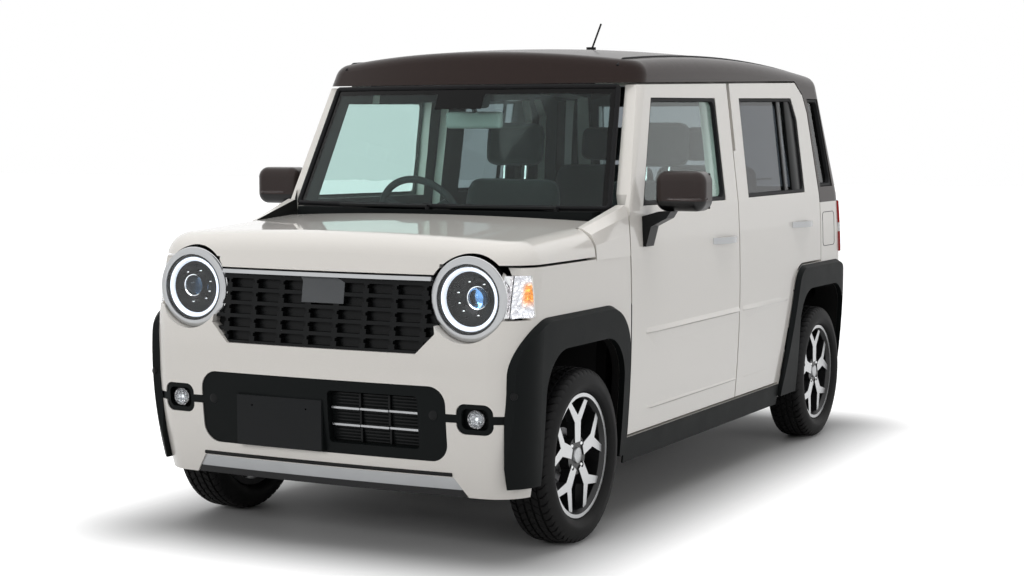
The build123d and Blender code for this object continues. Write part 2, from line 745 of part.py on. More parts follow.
for side in (1, -1):
    house = compose(
        block((rear_axle_x - 330, rear_axle_x + 330), sorted((side * 510, side * 616)), (380, 694)),
        keep=floor_region,
        cuts=[
            side_prism(
                [
                    (rear_axle_x - 312, 100), (rear_axle_x - 312, 676), (rear_axle_x + 312, 676),
                    (rear_axle_x + 312, 100),
                ],
                *sorted((side * 528, side * 800)),
            )
        ],
    )
    floor = compose(floor, joins=[house])
floor = compose(floor, joins=bonnet_arms)
finish(floor, "underbody")

# Engine and gearbox as one plain block on the rails
finish(block((950, 1450), (-320, 320), (300, 860)), "engine")
finish(
    compose(
        block((1150, 1270), (-380, 380), (190, 250)),
        joins=[
            block((1165, 1255), (-610, -380), (160, 190)), block((1165, 1255), (380, 610), (160, 190)),
            rod((front_axle_x, kingpin_y, 190), (front_axle_x, kingpin_y, 214), 9),
            rod((front_axle_x, -kingpin_y, 190), (front_axle_x, -kingpin_y, 214), 9),
            rod((front_axle_x, 480, 400), (front_axle_x, 480, 729.7), 26),
            rod((front_axle_x, -480, 400), (front_axle_x, -480, 729.7), 26),
            rod((front_axle_x, 480, 600), (front_axle_x, 480, 729.7), 60),
            rod((front_axle_x, -480, 600), (front_axle_x, -480, 729.7), 60),
            block((1190, 1231), (470, 612), (396, 426)), block((1190, 1231), (-612, -470), (396, 426)),
            rod((front_axle_x, kingpin_y, 372), (front_axle_x, kingpin_y, 396), 9),
            rod((front_axle_x, -kingpin_y, 372), (front_axle_x, -kingpin_y, 396), 9),
            block((1180, 1240), (-400, -320), (235, 330)), block((1180, 1240), (320, 400), (235, 330)),
        ],
    ),
    "front_suspension",
)
finish(
    compose(
        block((rear_axle_x - 40, rear_axle_x + 40), (-500, 500), (240, 320)),
        joins=[
            rod((rear_axle_x, 480, TYRE_RADIUS), (rear_axle_x, wheel_y + 40, TYRE_RADIUS), SPINDLE_RADIUS),
            rod((rear_axle_x, -480, TYRE_RADIUS), (rear_axle_x, -wheel_y - 40, TYRE_RADIUS), SPINDLE_RADIUS),
            block((rear_axle_x, -790), (440, 490), (260, 310)),
            block((rear_axle_x, -790), (-490, -440), (260, 310)),
            rod((rear_axle_x, 460, 300), (rear_axle_x, 460, 429.7), 50),
            rod((rear_axle_x, -460, 300), (rear_axle_x, -460, 429.7), 50),
            block((-850, -790), (440, 490), (226, 260)), block((-850, -790), (-490, -440), (226, 260)),
        ],
        cuts=[block((-860, -700), (-700, 700), (229.7, 500))],
    ),
    "rear_axle",
)

# Steering knuckles turn on the pins of the suspension and carry the front spindles
for side, name in ((1, "left"), (-1, "right")):
    knuckle = compose(
        block(
            (front_axle_x - 24, front_axle_x + 24),
            sorted((side * (kingpin_y - 22), side * (kingpin_y + 22))), (191, 395),
        ),
        joins=[
            rod(
                (front_axle_x, side * kingpin_y, TYRE_RADIUS),
                (front_axle_x, side * (wheel_y + 40), TYRE_RADIUS), SPINDLE_RADIUS,
            )
        ],
        cuts=[
            rod(
                (front_axle_x, side * kingpin_y, 180), (front_axle_x, side * kingpin_y, 215),
                9 + RUNNING_FIT,
            ),
            rod(
                (front_axle_x, side * kingpin_y, 371), (front_axle_x, side * kingpin_y, 400),
                9 + RUNNING_FIT,
            ),
        ],
    )
    finish(knuckle, "knuckle_" + name)

# Wheel and tyre about the Y axis at the origin, outer face to +Y
RIM_HALF = 62
with BuildSketch() as spoke:
    with BuildLine():
        Polyline(
            (44, -20), (112, -23), (172, -74), (180, -50), (134, 0), (180, 50), (172, 74), (112, 23),
            (44, 20), close=True,
        )
    make_face()
with BuildPart() as rim:
    with BuildSketch(Plane.XY):
        with BuildLine():
            Polyline(
                (184, -RIM_HALF), (RIM_RADIUS, -RIM_HALF), (RIM_RADIUS, -RIM_HALF + 7),
                (191, -RIM_HALF + 12), (191, RIM_HALF - 12),
                (RIM_RADIUS, RIM_HALF - 7), (RIM_RADIUS, RIM_HALF), (194, RIM_HALF), (184, RIM_HALF - 16),
                close=True,
            )
        make_face()
    revolve(axis=Axis.Y)
    with BuildSketch(Plane.XZ.offset(-14)):
        Circle(64)
    extrude(amount=-34)
    with BuildSketch(Plane.XZ.offset(-22)):
        with PolarLocations(0, 5, start_angle=90):
            add(spoke.sketch)
    extrude(amount=-30)
    with BuildSketch(Plane.XZ.offset(-5)):
        Circle(SPINDLE_RADIUS + RUNNING_FIT)
    extrude(amount=-40, mode=Mode.SUBTRACT)
    with BuildSketch(Plane.XZ.offset(-36)):
        with PolarLocations(50, 4, start_angle=45):
            Circle(10)
    extrude(amount=-40, mode=Mode.SUBTRACT)
with BuildPart() as tyre:
    with BuildSketch(Plane.XY):
        with BuildLine():
            half = TYRE_WIDTH / 2
            Polyline((191.4, -RIM_HALF + 13), (191.4, RIM_HALF - 13))
            Line((191.4, RIM_HALF - 13), (RIM_RADIUS + 0.4, RIM_HALF - 8))
            ThreePointArc((RIM_RADIUS + 0.4, RIM_HALF - 8), (240, half), (276, half - 12))
            ThreePointArc((276, half - 12), (TYRE_RADIUS - 3, half - 22), (TYRE_RADIUS, half - 36))
            Line((TYRE_RADIUS, half - 36), (TYRE_RADIUS, -half + 36))
            ThreePointArc((TYRE_RADIUS, -half + 36), (TYRE_RADIUS - 3, -half + 22), (276, -half + 12))
            ThreePointArc((276, -half + 12), (240, -half), (RIM_RADIUS + 0.4, -RIM_HALF + 8))
            Line((RIM_RADIUS + 0.4, -RIM_HALF + 8), (191.4, -RIM_HALF + 13))
        make_face()
    revolve(axis=Axis.Y)
for x, row in ((front_axle_x, "front"), (rear_axle_x, "rear")):
    for side, name in ((1, "left"), (-1, "right")):
        place = Pos(x, side * wheel_y, TYRE_RADIUS) * Rot(0, 0, 0 if side > 0 else 180)
        finish(place * rim.part, "wheel_" + row + "_" + name)
        finish(place * tyre.part, "tyre_" + row + "_" + name)

# Cowl under the windscreen, wipers and antenna
with BuildPart() as cowl:
    with BuildSketch(Plane.XY.offset(1024)):
        with BuildLine():
            front_arc = ThreePointArc((871, 720), (953, 0), (871, -720))
            Line(front_arc @ 1, (800, -720))
            rear_arc = ThreePointArc((800, -720), (880, 0), (800, 720))
            Line(rear_arc @ 1, front_arc @ 0)
        make_face()
    extrude(amount=BELT_HEIGHT - FIT_GAP - 1024)
    add(block((600, 1100), (-603, 603), (900, 1200)), mode=Mode.INTERSECT)
cowl_panel = compose(cowl.part, joins=[block((850.0, 880), (-500, 500), (1000 + FIT_GAP, 1030))])
finish(cowl_panel, "cowl_panel")
wiper_rods = []
for start, end in (((922, -400, 1085), (943, -20, 1085)), ((942, 60, 1085), (904, 470, 1085))):
    wiper_rods.append(rod(start, end, 7))
    wiper_rods.append(rod((end[0], end[1], BELT_HEIGHT), end, 9))
finish(compose(wiper_rods[0], joins=wiper_rods[1:]), "wipers")
roof_top = ROOF_HEIGHT - 0.1
finish(
    compose(
        rod((-389, 0, roof_top + 0.3), (-389, 0, roof_top + 20), 20),
        joins=[rod((-392, 0, roof_top + 8), (-486, 0, 1800), 4)],
    ),
    "antenna",
)

# Cabin: dashboard with steering column, front seats and rear bench
dash_edge = [
    (849.7, 560), (849.7, 1000), (820, 1020), (700, 1040), (540, 990), (500, 880), (560, 760), (640, 560),
]
WHEEL_CENTRE = (430, -340, 1012)
column_dir = Vector(-0.906, 0, 0.423)
hub_point = Vector(*WHEEL_CENTRE)
dash = compose(
    side_prism(dash_edge, -610, 610), keep=lower_body(WALL_THICKNESS + FIT_GAP),
    joins=[
        rod(tuple(hub_point - column_dir * 190), tuple(hub_point - column_dir * 26), 22),
        rod(tuple(hub_point - column_dir * 60), tuple(hub_point - column_dir * 2), 9),
    ],
)
finish(dash, "dashboard")
wheel_plane = Plane(origin=WHEEL_CENTRE, x_dir=(0, 1, 0), z_dir=column_dir)
with BuildPart() as steering:
    with BuildSketch(Plane(origin=WHEEL_CENTRE, x_dir=(0, 1, 0), z_dir=wheel_plane.y_dir * -1)):
        with Locations((172, 0)):
            Circle(14)
    revolve(axis=Axis(WHEEL_CENTRE, column_dir))
    with BuildSketch(wheel_plane.offset(-18)):
        Circle(58)
        with PolarLocations(100, 3, start_angle=90):
            Rectangle(130, 34)
    extrude(amount=24)
    with BuildSketch(wheel_plane.offset(-20)):
        Circle(9 + RUNNING_FIT)
    extrude(amount=19, mode=Mode.SUBTRACT)
finish(steering.part, "steering_wheel")
seat_edge = [
    (260, 470), (280, 560), (240, 610), (-150, 575), (-250, 900), (-300, 1150), (-290, 1210),
    (-300, 1400), (-370, 1400),
    (-385, 1200), (-350, 900), (-265, 470), (-200, FLOOR_HEIGHT + 34 + FIT_GAP),
    (200, FLOOR_HEIGHT + 34 + FIT_GAP),
]
bench_edge = [
    (-520, 480), (-500, 570), (-560, 610), (-880, 590), (-990, 900), (-1060, 1230), (-1130, 1230),
    (-1080, 900), (-960, 480),
    (-815, 480), (-815, FLOOR_HEIGHT + 34 + FIT_GAP), (-600, FLOOR_HEIGHT + 34 + FIT_GAP),
]
front_seat = side_prism(seat_edge, 100, 550)
bench = compose(side_prism(bench_edge, -500, 500))
finish(compose(both_sides(front_seat), joins=[bench]), "seats")

# Door furniture: handles and mirrors
skin_touch = lower_body(-0.25)
for row, x_from, x_to, z in (("front", -192, 34, 935), ("rear", -1115, -889, 957)):
    with BuildPart() as handle:
        with BuildSketch(Plane.XY.offset(z - 12)):
            with BuildLine():
                outer_arc = ThreePointArc((x_from, 714), ((x_from + x_to) / 2, 752), (x_to, 714))
                inner_line = Line(outer_arc @ 1, (x_to - 34, 714))
                inner_arc = ThreePointArc(inner_line @ 1, ((x_from + x_to) / 2, 736), (x_from + 34, 714))
                Line(inner_arc @ 1, outer_arc @ 0)
            make_face()
            offset(amount=3)
        extrude(amount=24)
        add(skin_touch, mode=Mode.SUBTRACT)
    finish(handle.part, "handle_" + row + "_left")
    finish(mirror(handle.part, about=Plane.XZ), "handle_" + row + "_right")
with BuildPart() as mirror_shell:
    with BuildSketch(Plane.YZ.offset(612)):
        with Locations((838, 1144)):
            RectangleRounded(186, 140, 40)
    extrude(amount=86)
    fillet(mirror_shell.faces().sort_by(Axis.X)[-1].edges(), 34)
with BuildPart() as mirror_foot:
    with BuildSketch(Plane.YZ.offset(640)):
        with BuildLine():
            Polyline(
                (690, 950), (690, 1050), (730, 1062), (770, 1073.7), (815, 1073.7), (800, 1050),
                (742, 1020), (724, 950), close=True,
            )
        make_face()
    extrude(amount=70)
    add(skin_touch, mode=Mode.SUBTRACT)
foot = compose(mirror_foot.part.solids().sort_by(lambda piece: piece.volume)[-1])
finish(mirror_shell.part, "mirror_left")
finish(mirror(mirror_shell.part, about=Plane.XZ), "mirror_right")
finish(foot, "mirror_foot_left")
finish(mirror(foot, about=Plane.XZ), "mirror_foot_right")
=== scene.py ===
import math

import bmesh
import bpy
from mathutils import Matrix, Vector
from mathutils.bvhtree import BVHTree


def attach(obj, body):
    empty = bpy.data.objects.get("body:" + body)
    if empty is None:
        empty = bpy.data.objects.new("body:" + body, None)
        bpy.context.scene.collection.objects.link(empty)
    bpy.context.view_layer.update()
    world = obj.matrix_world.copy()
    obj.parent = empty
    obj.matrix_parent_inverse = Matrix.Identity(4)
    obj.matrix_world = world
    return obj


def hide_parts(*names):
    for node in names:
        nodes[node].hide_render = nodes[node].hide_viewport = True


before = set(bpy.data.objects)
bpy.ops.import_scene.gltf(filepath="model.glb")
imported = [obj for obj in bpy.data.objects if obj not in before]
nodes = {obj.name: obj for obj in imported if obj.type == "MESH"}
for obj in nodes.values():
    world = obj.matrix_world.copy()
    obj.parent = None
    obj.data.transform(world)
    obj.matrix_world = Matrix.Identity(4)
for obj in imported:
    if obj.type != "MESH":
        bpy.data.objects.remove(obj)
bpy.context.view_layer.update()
scene = bpy.context.scene
scene.view_settings.view_transform = "Standard"
sides = ((1, "left"), (-1, "right"))
print("frame loaded", len(nodes), "nodes")


# small node helpers
def addNode(tree, kind, **values):
    node = tree.nodes.new(kind)
    for key, value in values.items():
        setattr(node, key, value)
    return node


def link(tree, output, node, label):
    tree.links.new(output, node.inputs[label])


def mathNode(tree, operation, first, second=None, third=None, clamp=False):
    node = addNode(tree, "ShaderNodeMath", operation=operation, use_clamp=clamp)
    for socket, value in zip(node.inputs, (first, second, third)):
        if value is None:
            continue
        if isinstance(value, (int, float)):
            socket.default_value = value
        else:
            tree.links.new(value, socket)
    return node.outputs[0]


def mixColor(tree, factor, first, second):
    node = addNode(tree, "ShaderNodeMix", data_type="RGBA")
    link(tree, factor, node, "Factor")
    for name, value in (("A", first), ("B", second)):
        socket = next(s for s in node.inputs if s.name == name and s.type == "RGBA")
        if isinstance(value, tuple):
            socket.default_value = (*value, 1.0)
        else:
            tree.links.new(value, socket)
    return next(s for s in node.outputs if s.type == "RGBA")


def textureNode(tree, kind, coord, scale=None, **values):  # texture on the object's own coordinates
    node = addNode(tree, "ShaderNodeTex" + kind, **values)
    link(tree, coord.outputs["Object"], node, "Vector")
    if scale is not None:
        node.inputs["Scale"].default_value = scale
    return node


def stepUp(tree, value, low, high):  # 0 below low, 1 above high
    node = addNode(tree, "ShaderNodeMapRange", interpolation_type="SMOOTHSTEP")
    link(tree, value, node, "Value")
    node.inputs["From Min"].default_value = low
    node.inputs["From Max"].default_value = high
    return node.outputs["Result"]


def objectCoords(tree):
    coord = addNode(tree, "ShaderNodeTexCoord")
    parts = addNode(tree, "ShaderNodeSeparateXYZ")
    link(tree, coord.outputs["Object"], parts, 0)
    return coord, parts.outputs


def newGroup(name, inputs, outputs):
    group = bpy.data.node_groups.new(name, "ShaderNodeTree")
    for label, value in inputs.items():
        socket = group.interface.new_socket(name=label, in_out="INPUT", socket_type="NodeSocketFloat")
        socket.default_value = value
    for label in outputs:
        group.interface.new_socket(name=label, in_out="OUTPUT", socket_type="NodeSocketFloat")
    return group, addNode(group, "NodeGroupInput"), addNode(group, "NodeGroupOutput")


def placeGroup(tree, group, **values):
    node = addNode(tree, "ShaderNodeGroup", node_tree=group)
    for label, value in values.items():
        node.inputs[label].default_value = value
    return node


# shared surface effects
def makeGrainGroup():
    group, source, sink = newGroup("mouldedGrain", {"Scale": 700.0, "Mottle": 9.0}, ["Height", "Patch"])
    coord = addNode(group, "ShaderNodeTexCoord")
    cells = textureNode(group, "Voronoi", coord, feature="SMOOTH_F1")
    fine = textureNode(group, "Noise", coord)
    patch = textureNode(group, "Noise", coord)
    link(group, source.outputs["Scale"], cells, "Scale")
    link(group, mathNode(group, "MULTIPLY", source.outputs["Scale"], 1.9), fine, "Scale")
    link(group, source.outputs["Mottle"], patch, "Scale")
    mixed = mathNode(group, "MULTIPLY_ADD", fine.outputs[0], 0.5, cells.outputs["Distance"])
    link(group, mixed, sink, "Height")
    link(group, patch.outputs[0], sink, "Patch")
    return group


def makeFlakeGroup():
    group, source, sink = newGroup("paintFlake", {"Scale": 2600.0, "Peel": 240.0}, ["Flake", "Peel"])
    coord = addNode(group, "ShaderNodeTexCoord")
    flake = textureNode(group, "Voronoi", coord)
    peel = textureNode(group, "Noise", coord)
    link(group, source.outputs["Scale"], flake, "Scale")
    link(group, source.outputs["Peel"], peel, "Scale")
    spark = addNode(group, "ShaderNodeSeparateColor")
    link(group, flake.outputs["Color"], spark, 0)
    link(group, spark.outputs[0], sink, "Flake")
    link(group, peel.outputs[0], sink, "Peel")
    return group


def makeWeaveGroup():
    group, source, sink = newGroup("wovenCloth", {"Scale": 420.0}, ["Height", "Thread"])
    coord = addNode(group, "ShaderNodeTexCoord")
    threads = []
    for direction in ("X", "Y", "Z"):
        wave = textureNode(group, "Wave", coord, bands_direction=direction)
        link(group, source.outputs["Scale"], wave, "Scale")
        wave.inputs["Distortion"].default_value = 0.6
        threads.append(wave.outputs["Fac"])
    height = mathNode(group, "ADD", mathNode(group, "MULTIPLY", threads[0], threads[1]), threads[2])
    link(group, height, sink, "Height")
    link(group, mathNode(group, "MULTIPLY", height, 0.5, clamp=True), sink, "Thread")
    return group


def makeDustGroup():
    group, source, sink = newGroup("roadDust", {"Top": 0.45, "Amount": 0.3}, ["Mask"])
    coord, spot = objectCoords(group)
    cloud = textureNode(group, "Noise", coord, 14.0)
    cloud.inputs["Detail"].default_value = 6.0
    share = mathNode(group, "DIVIDE", spot["Z"], source.outputs["Top"])
    low = mathNode(group, "SUBTRACT", 1.0, share, clamp=True)
    cloudy = mathNode(group, "MULTIPLY", low, cloud.outputs[0])
    mask = mathNode(group, "MULTIPLY", cloudy, source.outputs["Amount"], clamp=True)
    link(group, mask, sink, "Mask")
    return group


grainGroup = makeGrainGroup()
flakeGroup = makeFlakeGroup()
weaveGroup = makeWeaveGroup()
dustGroup = makeDustGroup()
finishes = {}


def startMaterial(name, **sockets):
    material = bpy.data.materials.new(name)
    material.use_nodes = True
    shader = material.node_tree.nodes["Principled BSDF"]
    for label, value in sockets.items():
        socket = shader.inputs[label.replace("_", " ")]
        socket.default_value = (*value, 1.0) if isinstance(value, tuple) else value
    finishes[name] = material
    return material.node_tree, shader


def bumpNormal(tree, shader, height, strength, distance):
    bump = addNode(tree, "ShaderNodeBump")
    bump.inputs["Strength"].default_value = strength
    bump.inputs["Distance"].default_value = distance
    link(tree, height, bump, "Height")
    link(tree, bump.outputs["Normal"], shader, "Normal")


def paintFinish(name, base, spark, rough, metallic=0.0, coat=1.0, shine=0.5):
    tree, shader = startMaterial(
        name, Roughness=rough, Metallic=metallic, Coat_Weight=coat, Coat_Roughness=0.03,
        Specular_IOR_Level=shine,
    )
    flake = placeGroup(tree, flakeGroup)
    dust = placeGroup(tree, dustGroup, Top=0.42, Amount=0.10)
    color = mixColor(tree, flake.outputs["Flake"], base, spark)
    color = mixColor(tree, dust.outputs["Mask"], color, (0.34, 0.31, 0.27))
    link(tree, color, shader, "Base Color")
    bumpNormal(tree, shader, flake.outputs["Peel"], 0.02, 0.0004)


def plasticFinish(name, base, light, rough, scale=700.0, depth=0.25, dustAmount=0.12, shine=0.15):
    tree, shader = startMaterial(name, Specular_IOR_Level=shine)
    grain = placeGroup(tree, grainGroup, Scale=scale)
    dust = placeGroup(tree, dustGroup, Amount=dustAmount)
    color = mixColor(tree, grain.outputs["Patch"], base, light)
    color = mixColor(tree, dust.outputs["Mask"], color, (0.16, 0.15, 0.13))
    link(tree, color, shader, "Base Color")
    patchy = mathNode(tree, "MULTIPLY_ADD", grain.outputs["Patch"], 0.14, rough - 0.07)
    link(tree, patchy, shader, "Roughness")
    bumpNormal(tree, shader, grain.outputs["Height"], depth, 0.0006)


def glassFinish(name, tint, borders=None):
    tree, shader = startMaterial(name, Roughness=0.0, IOR=1.3, Transmission_Weight=1.0)
    shader.inputs["Base Color"].default_value = (*tint, 1.0)
    clear = addNode(tree, "ShaderNodeBsdfTransparent")
    clear.inputs["Color"].default_value = (*tint, 1.0)
    if borders:  # printed black border of the screen
        spot = objectCoords(tree)[1]
        z = spot["Z"]
        across = mathNode(tree, "ABSOLUTE", spot["Y"])
        slope = (borders["baseHalf"] - borders["topHalf"]) / (borders["topZ"] - borders["baseZ"])
        edge = mathNode(tree, "MULTIPLY_ADD", z, slope, across)
        limit = borders["baseHalf"] + slope * borders["baseZ"] - borders["side"]
        topLimit = borders["topZ"] - borders["top"]
        blur = borders["blur"]
        sideMask = stepUp(tree, edge, limit - blur, limit + blur)
        topMask = stepUp(tree, z, topLimit - blur, topLimit + blur)
        lowMask = mathNode(tree, "SUBTRACT", 1.0, stepUp(tree, z, borders["low"], borders["low"] + 0.004))
        nearMiddle = mathNode(tree, "LESS_THAN", across, borders["padHalf"])
        padHigh = mathNode(tree, "GREATER_THAN", z, borders["padZ"])
        mask = mathNode(tree, "MAXIMUM", sideMask, topMask)
        mask = mathNode(tree, "MAXIMUM", mask, lowMask)
        mask = mathNode(tree, "MAXIMUM", mask, mathNode(tree, "MULTIPLY", nearMiddle, padHigh))
        color = mixColor(tree, mask, tint, (0.002, 0.002, 0.002))
        link(tree, color, shader, "Base Color")
        link(tree, color, clear, "Color")
    path = addNode(tree, "ShaderNodeLightPath")  # light passes the pane without refraction
    blend = addNode(tree, "ShaderNodeMixShader")
    link(tree, path.outputs["Is Shadow Ray"], blend, 0)
    link(tree, shader.outputs[0], blend, 1)
    link(tree, clear.outputs[0], blend, 2)
    output = tree.nodes["Material Output"]
    link(tree, blend.outputs[0], output, "Surface")


def metalFinish(name, base, rough, metallic=1.0, grainDepth=0.03):
    tree, shader = startMaterial(name, Metallic=metallic)
    grain = placeGroup(tree, grainGroup, Scale=900.0)
    color = mixColor(tree, grain.outputs["Patch"], base, tuple(min(1.0, c * 1.12) for c in base))
    link(tree, color, shader, "Base Color")
    patchy = mathNode(tree, "MULTIPLY_ADD", grain.outputs["Patch"], 0.08, rough - 0.04)
    link(tree, patchy, shader, "Roughness")
    bumpNormal(tree, shader, grain.outputs["Height"], grainDepth, 0.0004)


alloyZones = dict(outerY=0.6985, facing=(0.86, 0.94))
amberZone = dict(out=(0.682, 0.694), low=(0.800, 0.835), high=(0.868, 0.890))
clearBand = dict(low=(0.8995, 0.9005), high=(0.9395, 0.9405))


def alloyFinish(name):  # turned bright faces, black painted pockets
    tree, shader = startMaterial(name)
    coord, spot = objectCoords(tree)
    normalParts = addNode(tree, "ShaderNodeSeparateXYZ")
    link(tree, coord.outputs["Normal"], normalParts, 0)
    facing = stepUp(tree, mathNode(tree, "ABSOLUTE", normalParts.outputs["Y"]), *alloyZones["facing"])
    outer = mathNode(tree, "GREATER_THAN", mathNode(tree, "ABSOLUTE", spot["Y"]), alloyZones["outerY"])
    bright = mathNode(tree, "MULTIPLY", facing, outer)
    rings = textureNode(tree, "Noise", coord, 900.0)
    silver = mixColor(tree, rings.outputs[0], (0.62, 0.63, 0.64), (0.80, 0.81, 0.82))
    link(tree, mixColor(tree, bright, (0.012, 0.012, 0.013), silver), shader, "Base Color")
    link(tree, mathNode(tree, "MULTIPLY", bright, 0.85), shader, "Metallic")
    link(tree, mathNode(tree, "MULTIPLY_ADD", rings.outputs[0], 0.12, 0.24), shader, "Roughness")


def turnLampFinish(name):  # faceted reflector with an amber bulb zone
    tree, shader = startMaterial(name, Metallic=0.75, Roughness=0.16)
    coord, spot = objectCoords(tree)
    facets = textureNode(tree, "Voronoi", coord, 75.0)
    out = stepUp(tree, mathNode(tree, "ABSOLUTE", spot["Y"]), *amberZone["out"])
    high = stepUp(tree, spot["Z"], *amberZone["low"])
    top = mathNode(tree, "SUBTRACT", 1.0, stepUp(tree, spot["Z"], *amberZone["high"]))
    amber = mathNode(tree, "MULTIPLY", mathNode(tree, "MULTIPLY", out, high), top)
    pale = mixColor(tree, facets.outputs["Distance"], (0.86, 0.84, 0.86), (0.55, 0.53, 0.56))
    link(tree, mixColor(tree, amber, pale, (0.90, 0.30, 0.04)), shader, "Base Color")
    bumpNormal(tree, shader, facets.outputs["Distance"], 0.8, 0.006)


turnLampFinish("turnReflector")


def fogBowlFinish(name):  # ribbed bright bowl
    tree, shader = startMaterial(name, Metallic=0.9, Roughness=0.22)
    cells = textureNode(tree, "Voronoi", addNode(tree, "ShaderNodeTexCoord"), 130.0)
    color = mixColor(tree, cells.outputs["Distance"], (0.62, 0.62, 0.63), (0.10, 0.10, 0.11))
    link(tree, color, shader, "Base Color")
    bumpNormal(tree, shader, cells.outputs["Distance"], 0.8, 0.004)


fogBowlFinish("fogBowl")
paintFinish("pearlWhite", (0.77, 0.738, 0.69), (0.87, 0.838, 0.79), 0.32)
paintFinish("brownMetallic", (0.010, 0.006, 0.0052), (0.034, 0.020, 0.017), 0.34, 0.4, 0.22, 0.1)
plasticFinish("grainedBlack", (0.005, 0.0062, 0.0064), (0.0075, 0.009, 0.0092), 0.50, 700, 0.25, 0.03, 0.09)
plasticFinish("satinBlack", (0.005, 0.0055, 0.006), (0.009, 0.0095, 0.010), 0.30, 1100.0, 0.08, 0.05)
plasticFinish("rubberSeal", (0.008, 0.008, 0.009), (0.014, 0.014, 0.015), 0.55, 1300.0, 0.12)
plasticFinish("cabinPlastic", (0.030, 0.030, 0.032), (0.045, 0.045, 0.047), 0.60, 520.0, 0.3, 0.0)
plasticFinish("headliner", (0.30, 0.30, 0.29), (0.36, 0.36, 0.35), 0.85, 900.0, 0.3, 0.0)
plasticFinish("tyreRubber", (0.0055, 0.0055, 0.006), (0.010, 0.010, 0.0105), 0.58, 500.0, 0.2, 0.06)
plasticFinish("darkPlate", (0.008, 0.009, 0.010), (0.011, 0.012, 0.013), 0.34, 1500.0, 0.04, 0.03)
plasticFinish("sensorGrey", (0.10, 0.105, 0.11), (0.12, 0.125, 0.13), 0.30, 1500.0, 0.03)
plasticFinish("chassisBlack", (0.006, 0.006, 0.0065), (0.011, 0.0105, 0.010), 0.60, 300.0, 0.25, 0.08)
plasticFinish("primedSteel", (0.030, 0.030, 0.032), (0.045, 0.044, 0.043), 0.60, 240.0, 0.2, 0.2)
metalFinish("chromePlate", (0.78, 0.79, 0.80), 0.09)
metalFinish("handleChrome", (0.52, 0.53, 0.54), 0.10)
metalFinish("satinSilver", (0.50, 0.51, 0.52), 0.34)
metalFinish("castMetal", (0.30, 0.30, 0.31), 0.5, 1.0, 0.2)
metalFinish("mirrorGlass", (0.86, 0.88, 0.90), 0.03, 1.0, 0.0)
alloyFinish("turnedAlloy")
screenBorders = dict(
    baseHalf=0.646, topHalf=0.584, baseZ=1.040, topZ=1.512, side=0.026, top=0.026, low=1.082,
    padHalf=0.095, padZ=1.432, blur=0.0015,
)
glassFinish("screenGlass", (0.64, 0.80, 0.77), screenBorders)
glassFinish("clearGlass", (0.74, 0.85, 0.83))
glassFinish("privacyGlass", (0.22, 0.24, 0.26))
glassFinish("lensGlass", (0.95, 0.97, 0.98))
glassFinish("redLens", (0.72, 0.02, 0.02))


def tailLampFinish(name):  # red lens with a clear band and fine ribs
    tree, shader = startMaterial(name, Roughness=0.12, Coat_Weight=0.4, Specular_IOR_Level=0.25)
    coord, spot = objectCoords(tree)
    above = stepUp(tree, spot["Z"], *clearBand["low"])
    below = mathNode(tree, "SUBTRACT", 1.0, stepUp(tree, spot["Z"], *clearBand["high"]))
    band = mathNode(tree, "MULTIPLY", above, below)
    ribs = textureNode(tree, "Wave", coord, 42.0, bands_direction="Z")
    red = mixColor(tree, ribs.outputs["Fac"], (0.30, 0.002, 0.003), (0.52, 0.010, 0.010))
    link(tree, mixColor(tree, band, red, (0.86, 0.86, 0.88)), shader, "Base Color")
    bumpNormal(tree, shader, ribs.outputs["Fac"], 0.25, 0.0015)


tailLampFinish("tailLens")
glassFinish("blueLens", (0.45, 0.68, 0.95))


def clothFinish(name, base, light):
    tree, shader = startMaterial(name, Roughness=0.9, Sheen_Weight=0.25)
    weave = placeGroup(tree, weaveGroup)
    color = mixColor(tree, weave.outputs["Thread"], base, light)
    link(tree, color, shader, "Base Color")
    bumpNormal(tree, shader, weave.outputs["Height"], 0.5, 0.0008)


def glowFinish(name, color, strength):
    startMaterial(name, Base_Color=color, Roughness=0.4, Emission_Color=color, Emission_Strength=strength)


clothFinish("seatCloth", (0.020, 0.020, 0.022), (0.045, 0.045, 0.048))
glowFinish("haloGlow", (0.80, 0.85, 0.94), 0.42)


def splitFinish(name, upper, lower, height, rough, metal):  # one finish above a height, another below it
    tree, shader = startMaterial(name, Coat_Weight=0.4, Coat_Roughness=0.05, Specular_IOR_Level=0.2)
    spot = objectCoords(tree)[1]
    grain = placeGroup(tree, grainGroup, Scale=1200.0)
    blur = 0.0012
    mask = stepUp(tree, spot["Z"], height - blur, height + blur)
    top = mixColor(tree, grain.outputs["Patch"], upper, tuple(1.2 * c for c in upper))
    link(tree, mixColor(tree, mask, lower, top), shader, "Base Color")
    link(tree, mathNode(tree, "MULTIPLY", mask, metal), shader, "Metallic")
    link(tree, mathNode(tree, "MULTIPLY_ADD", grain.outputs["Patch"], 0.06, rough), shader, "Roughness")


splitFinish("mirrorCap", (0.022, 0.0135, 0.012), (0.004, 0.004, 0.0045), 1.110, 0.26, 0.4)
splitFinish("skidSilver", (0.42, 0.43, 0.44), (0.010, 0.010, 0.011), 0.228, 0.30, 0.9)
print("finishes ready", len(finishes))

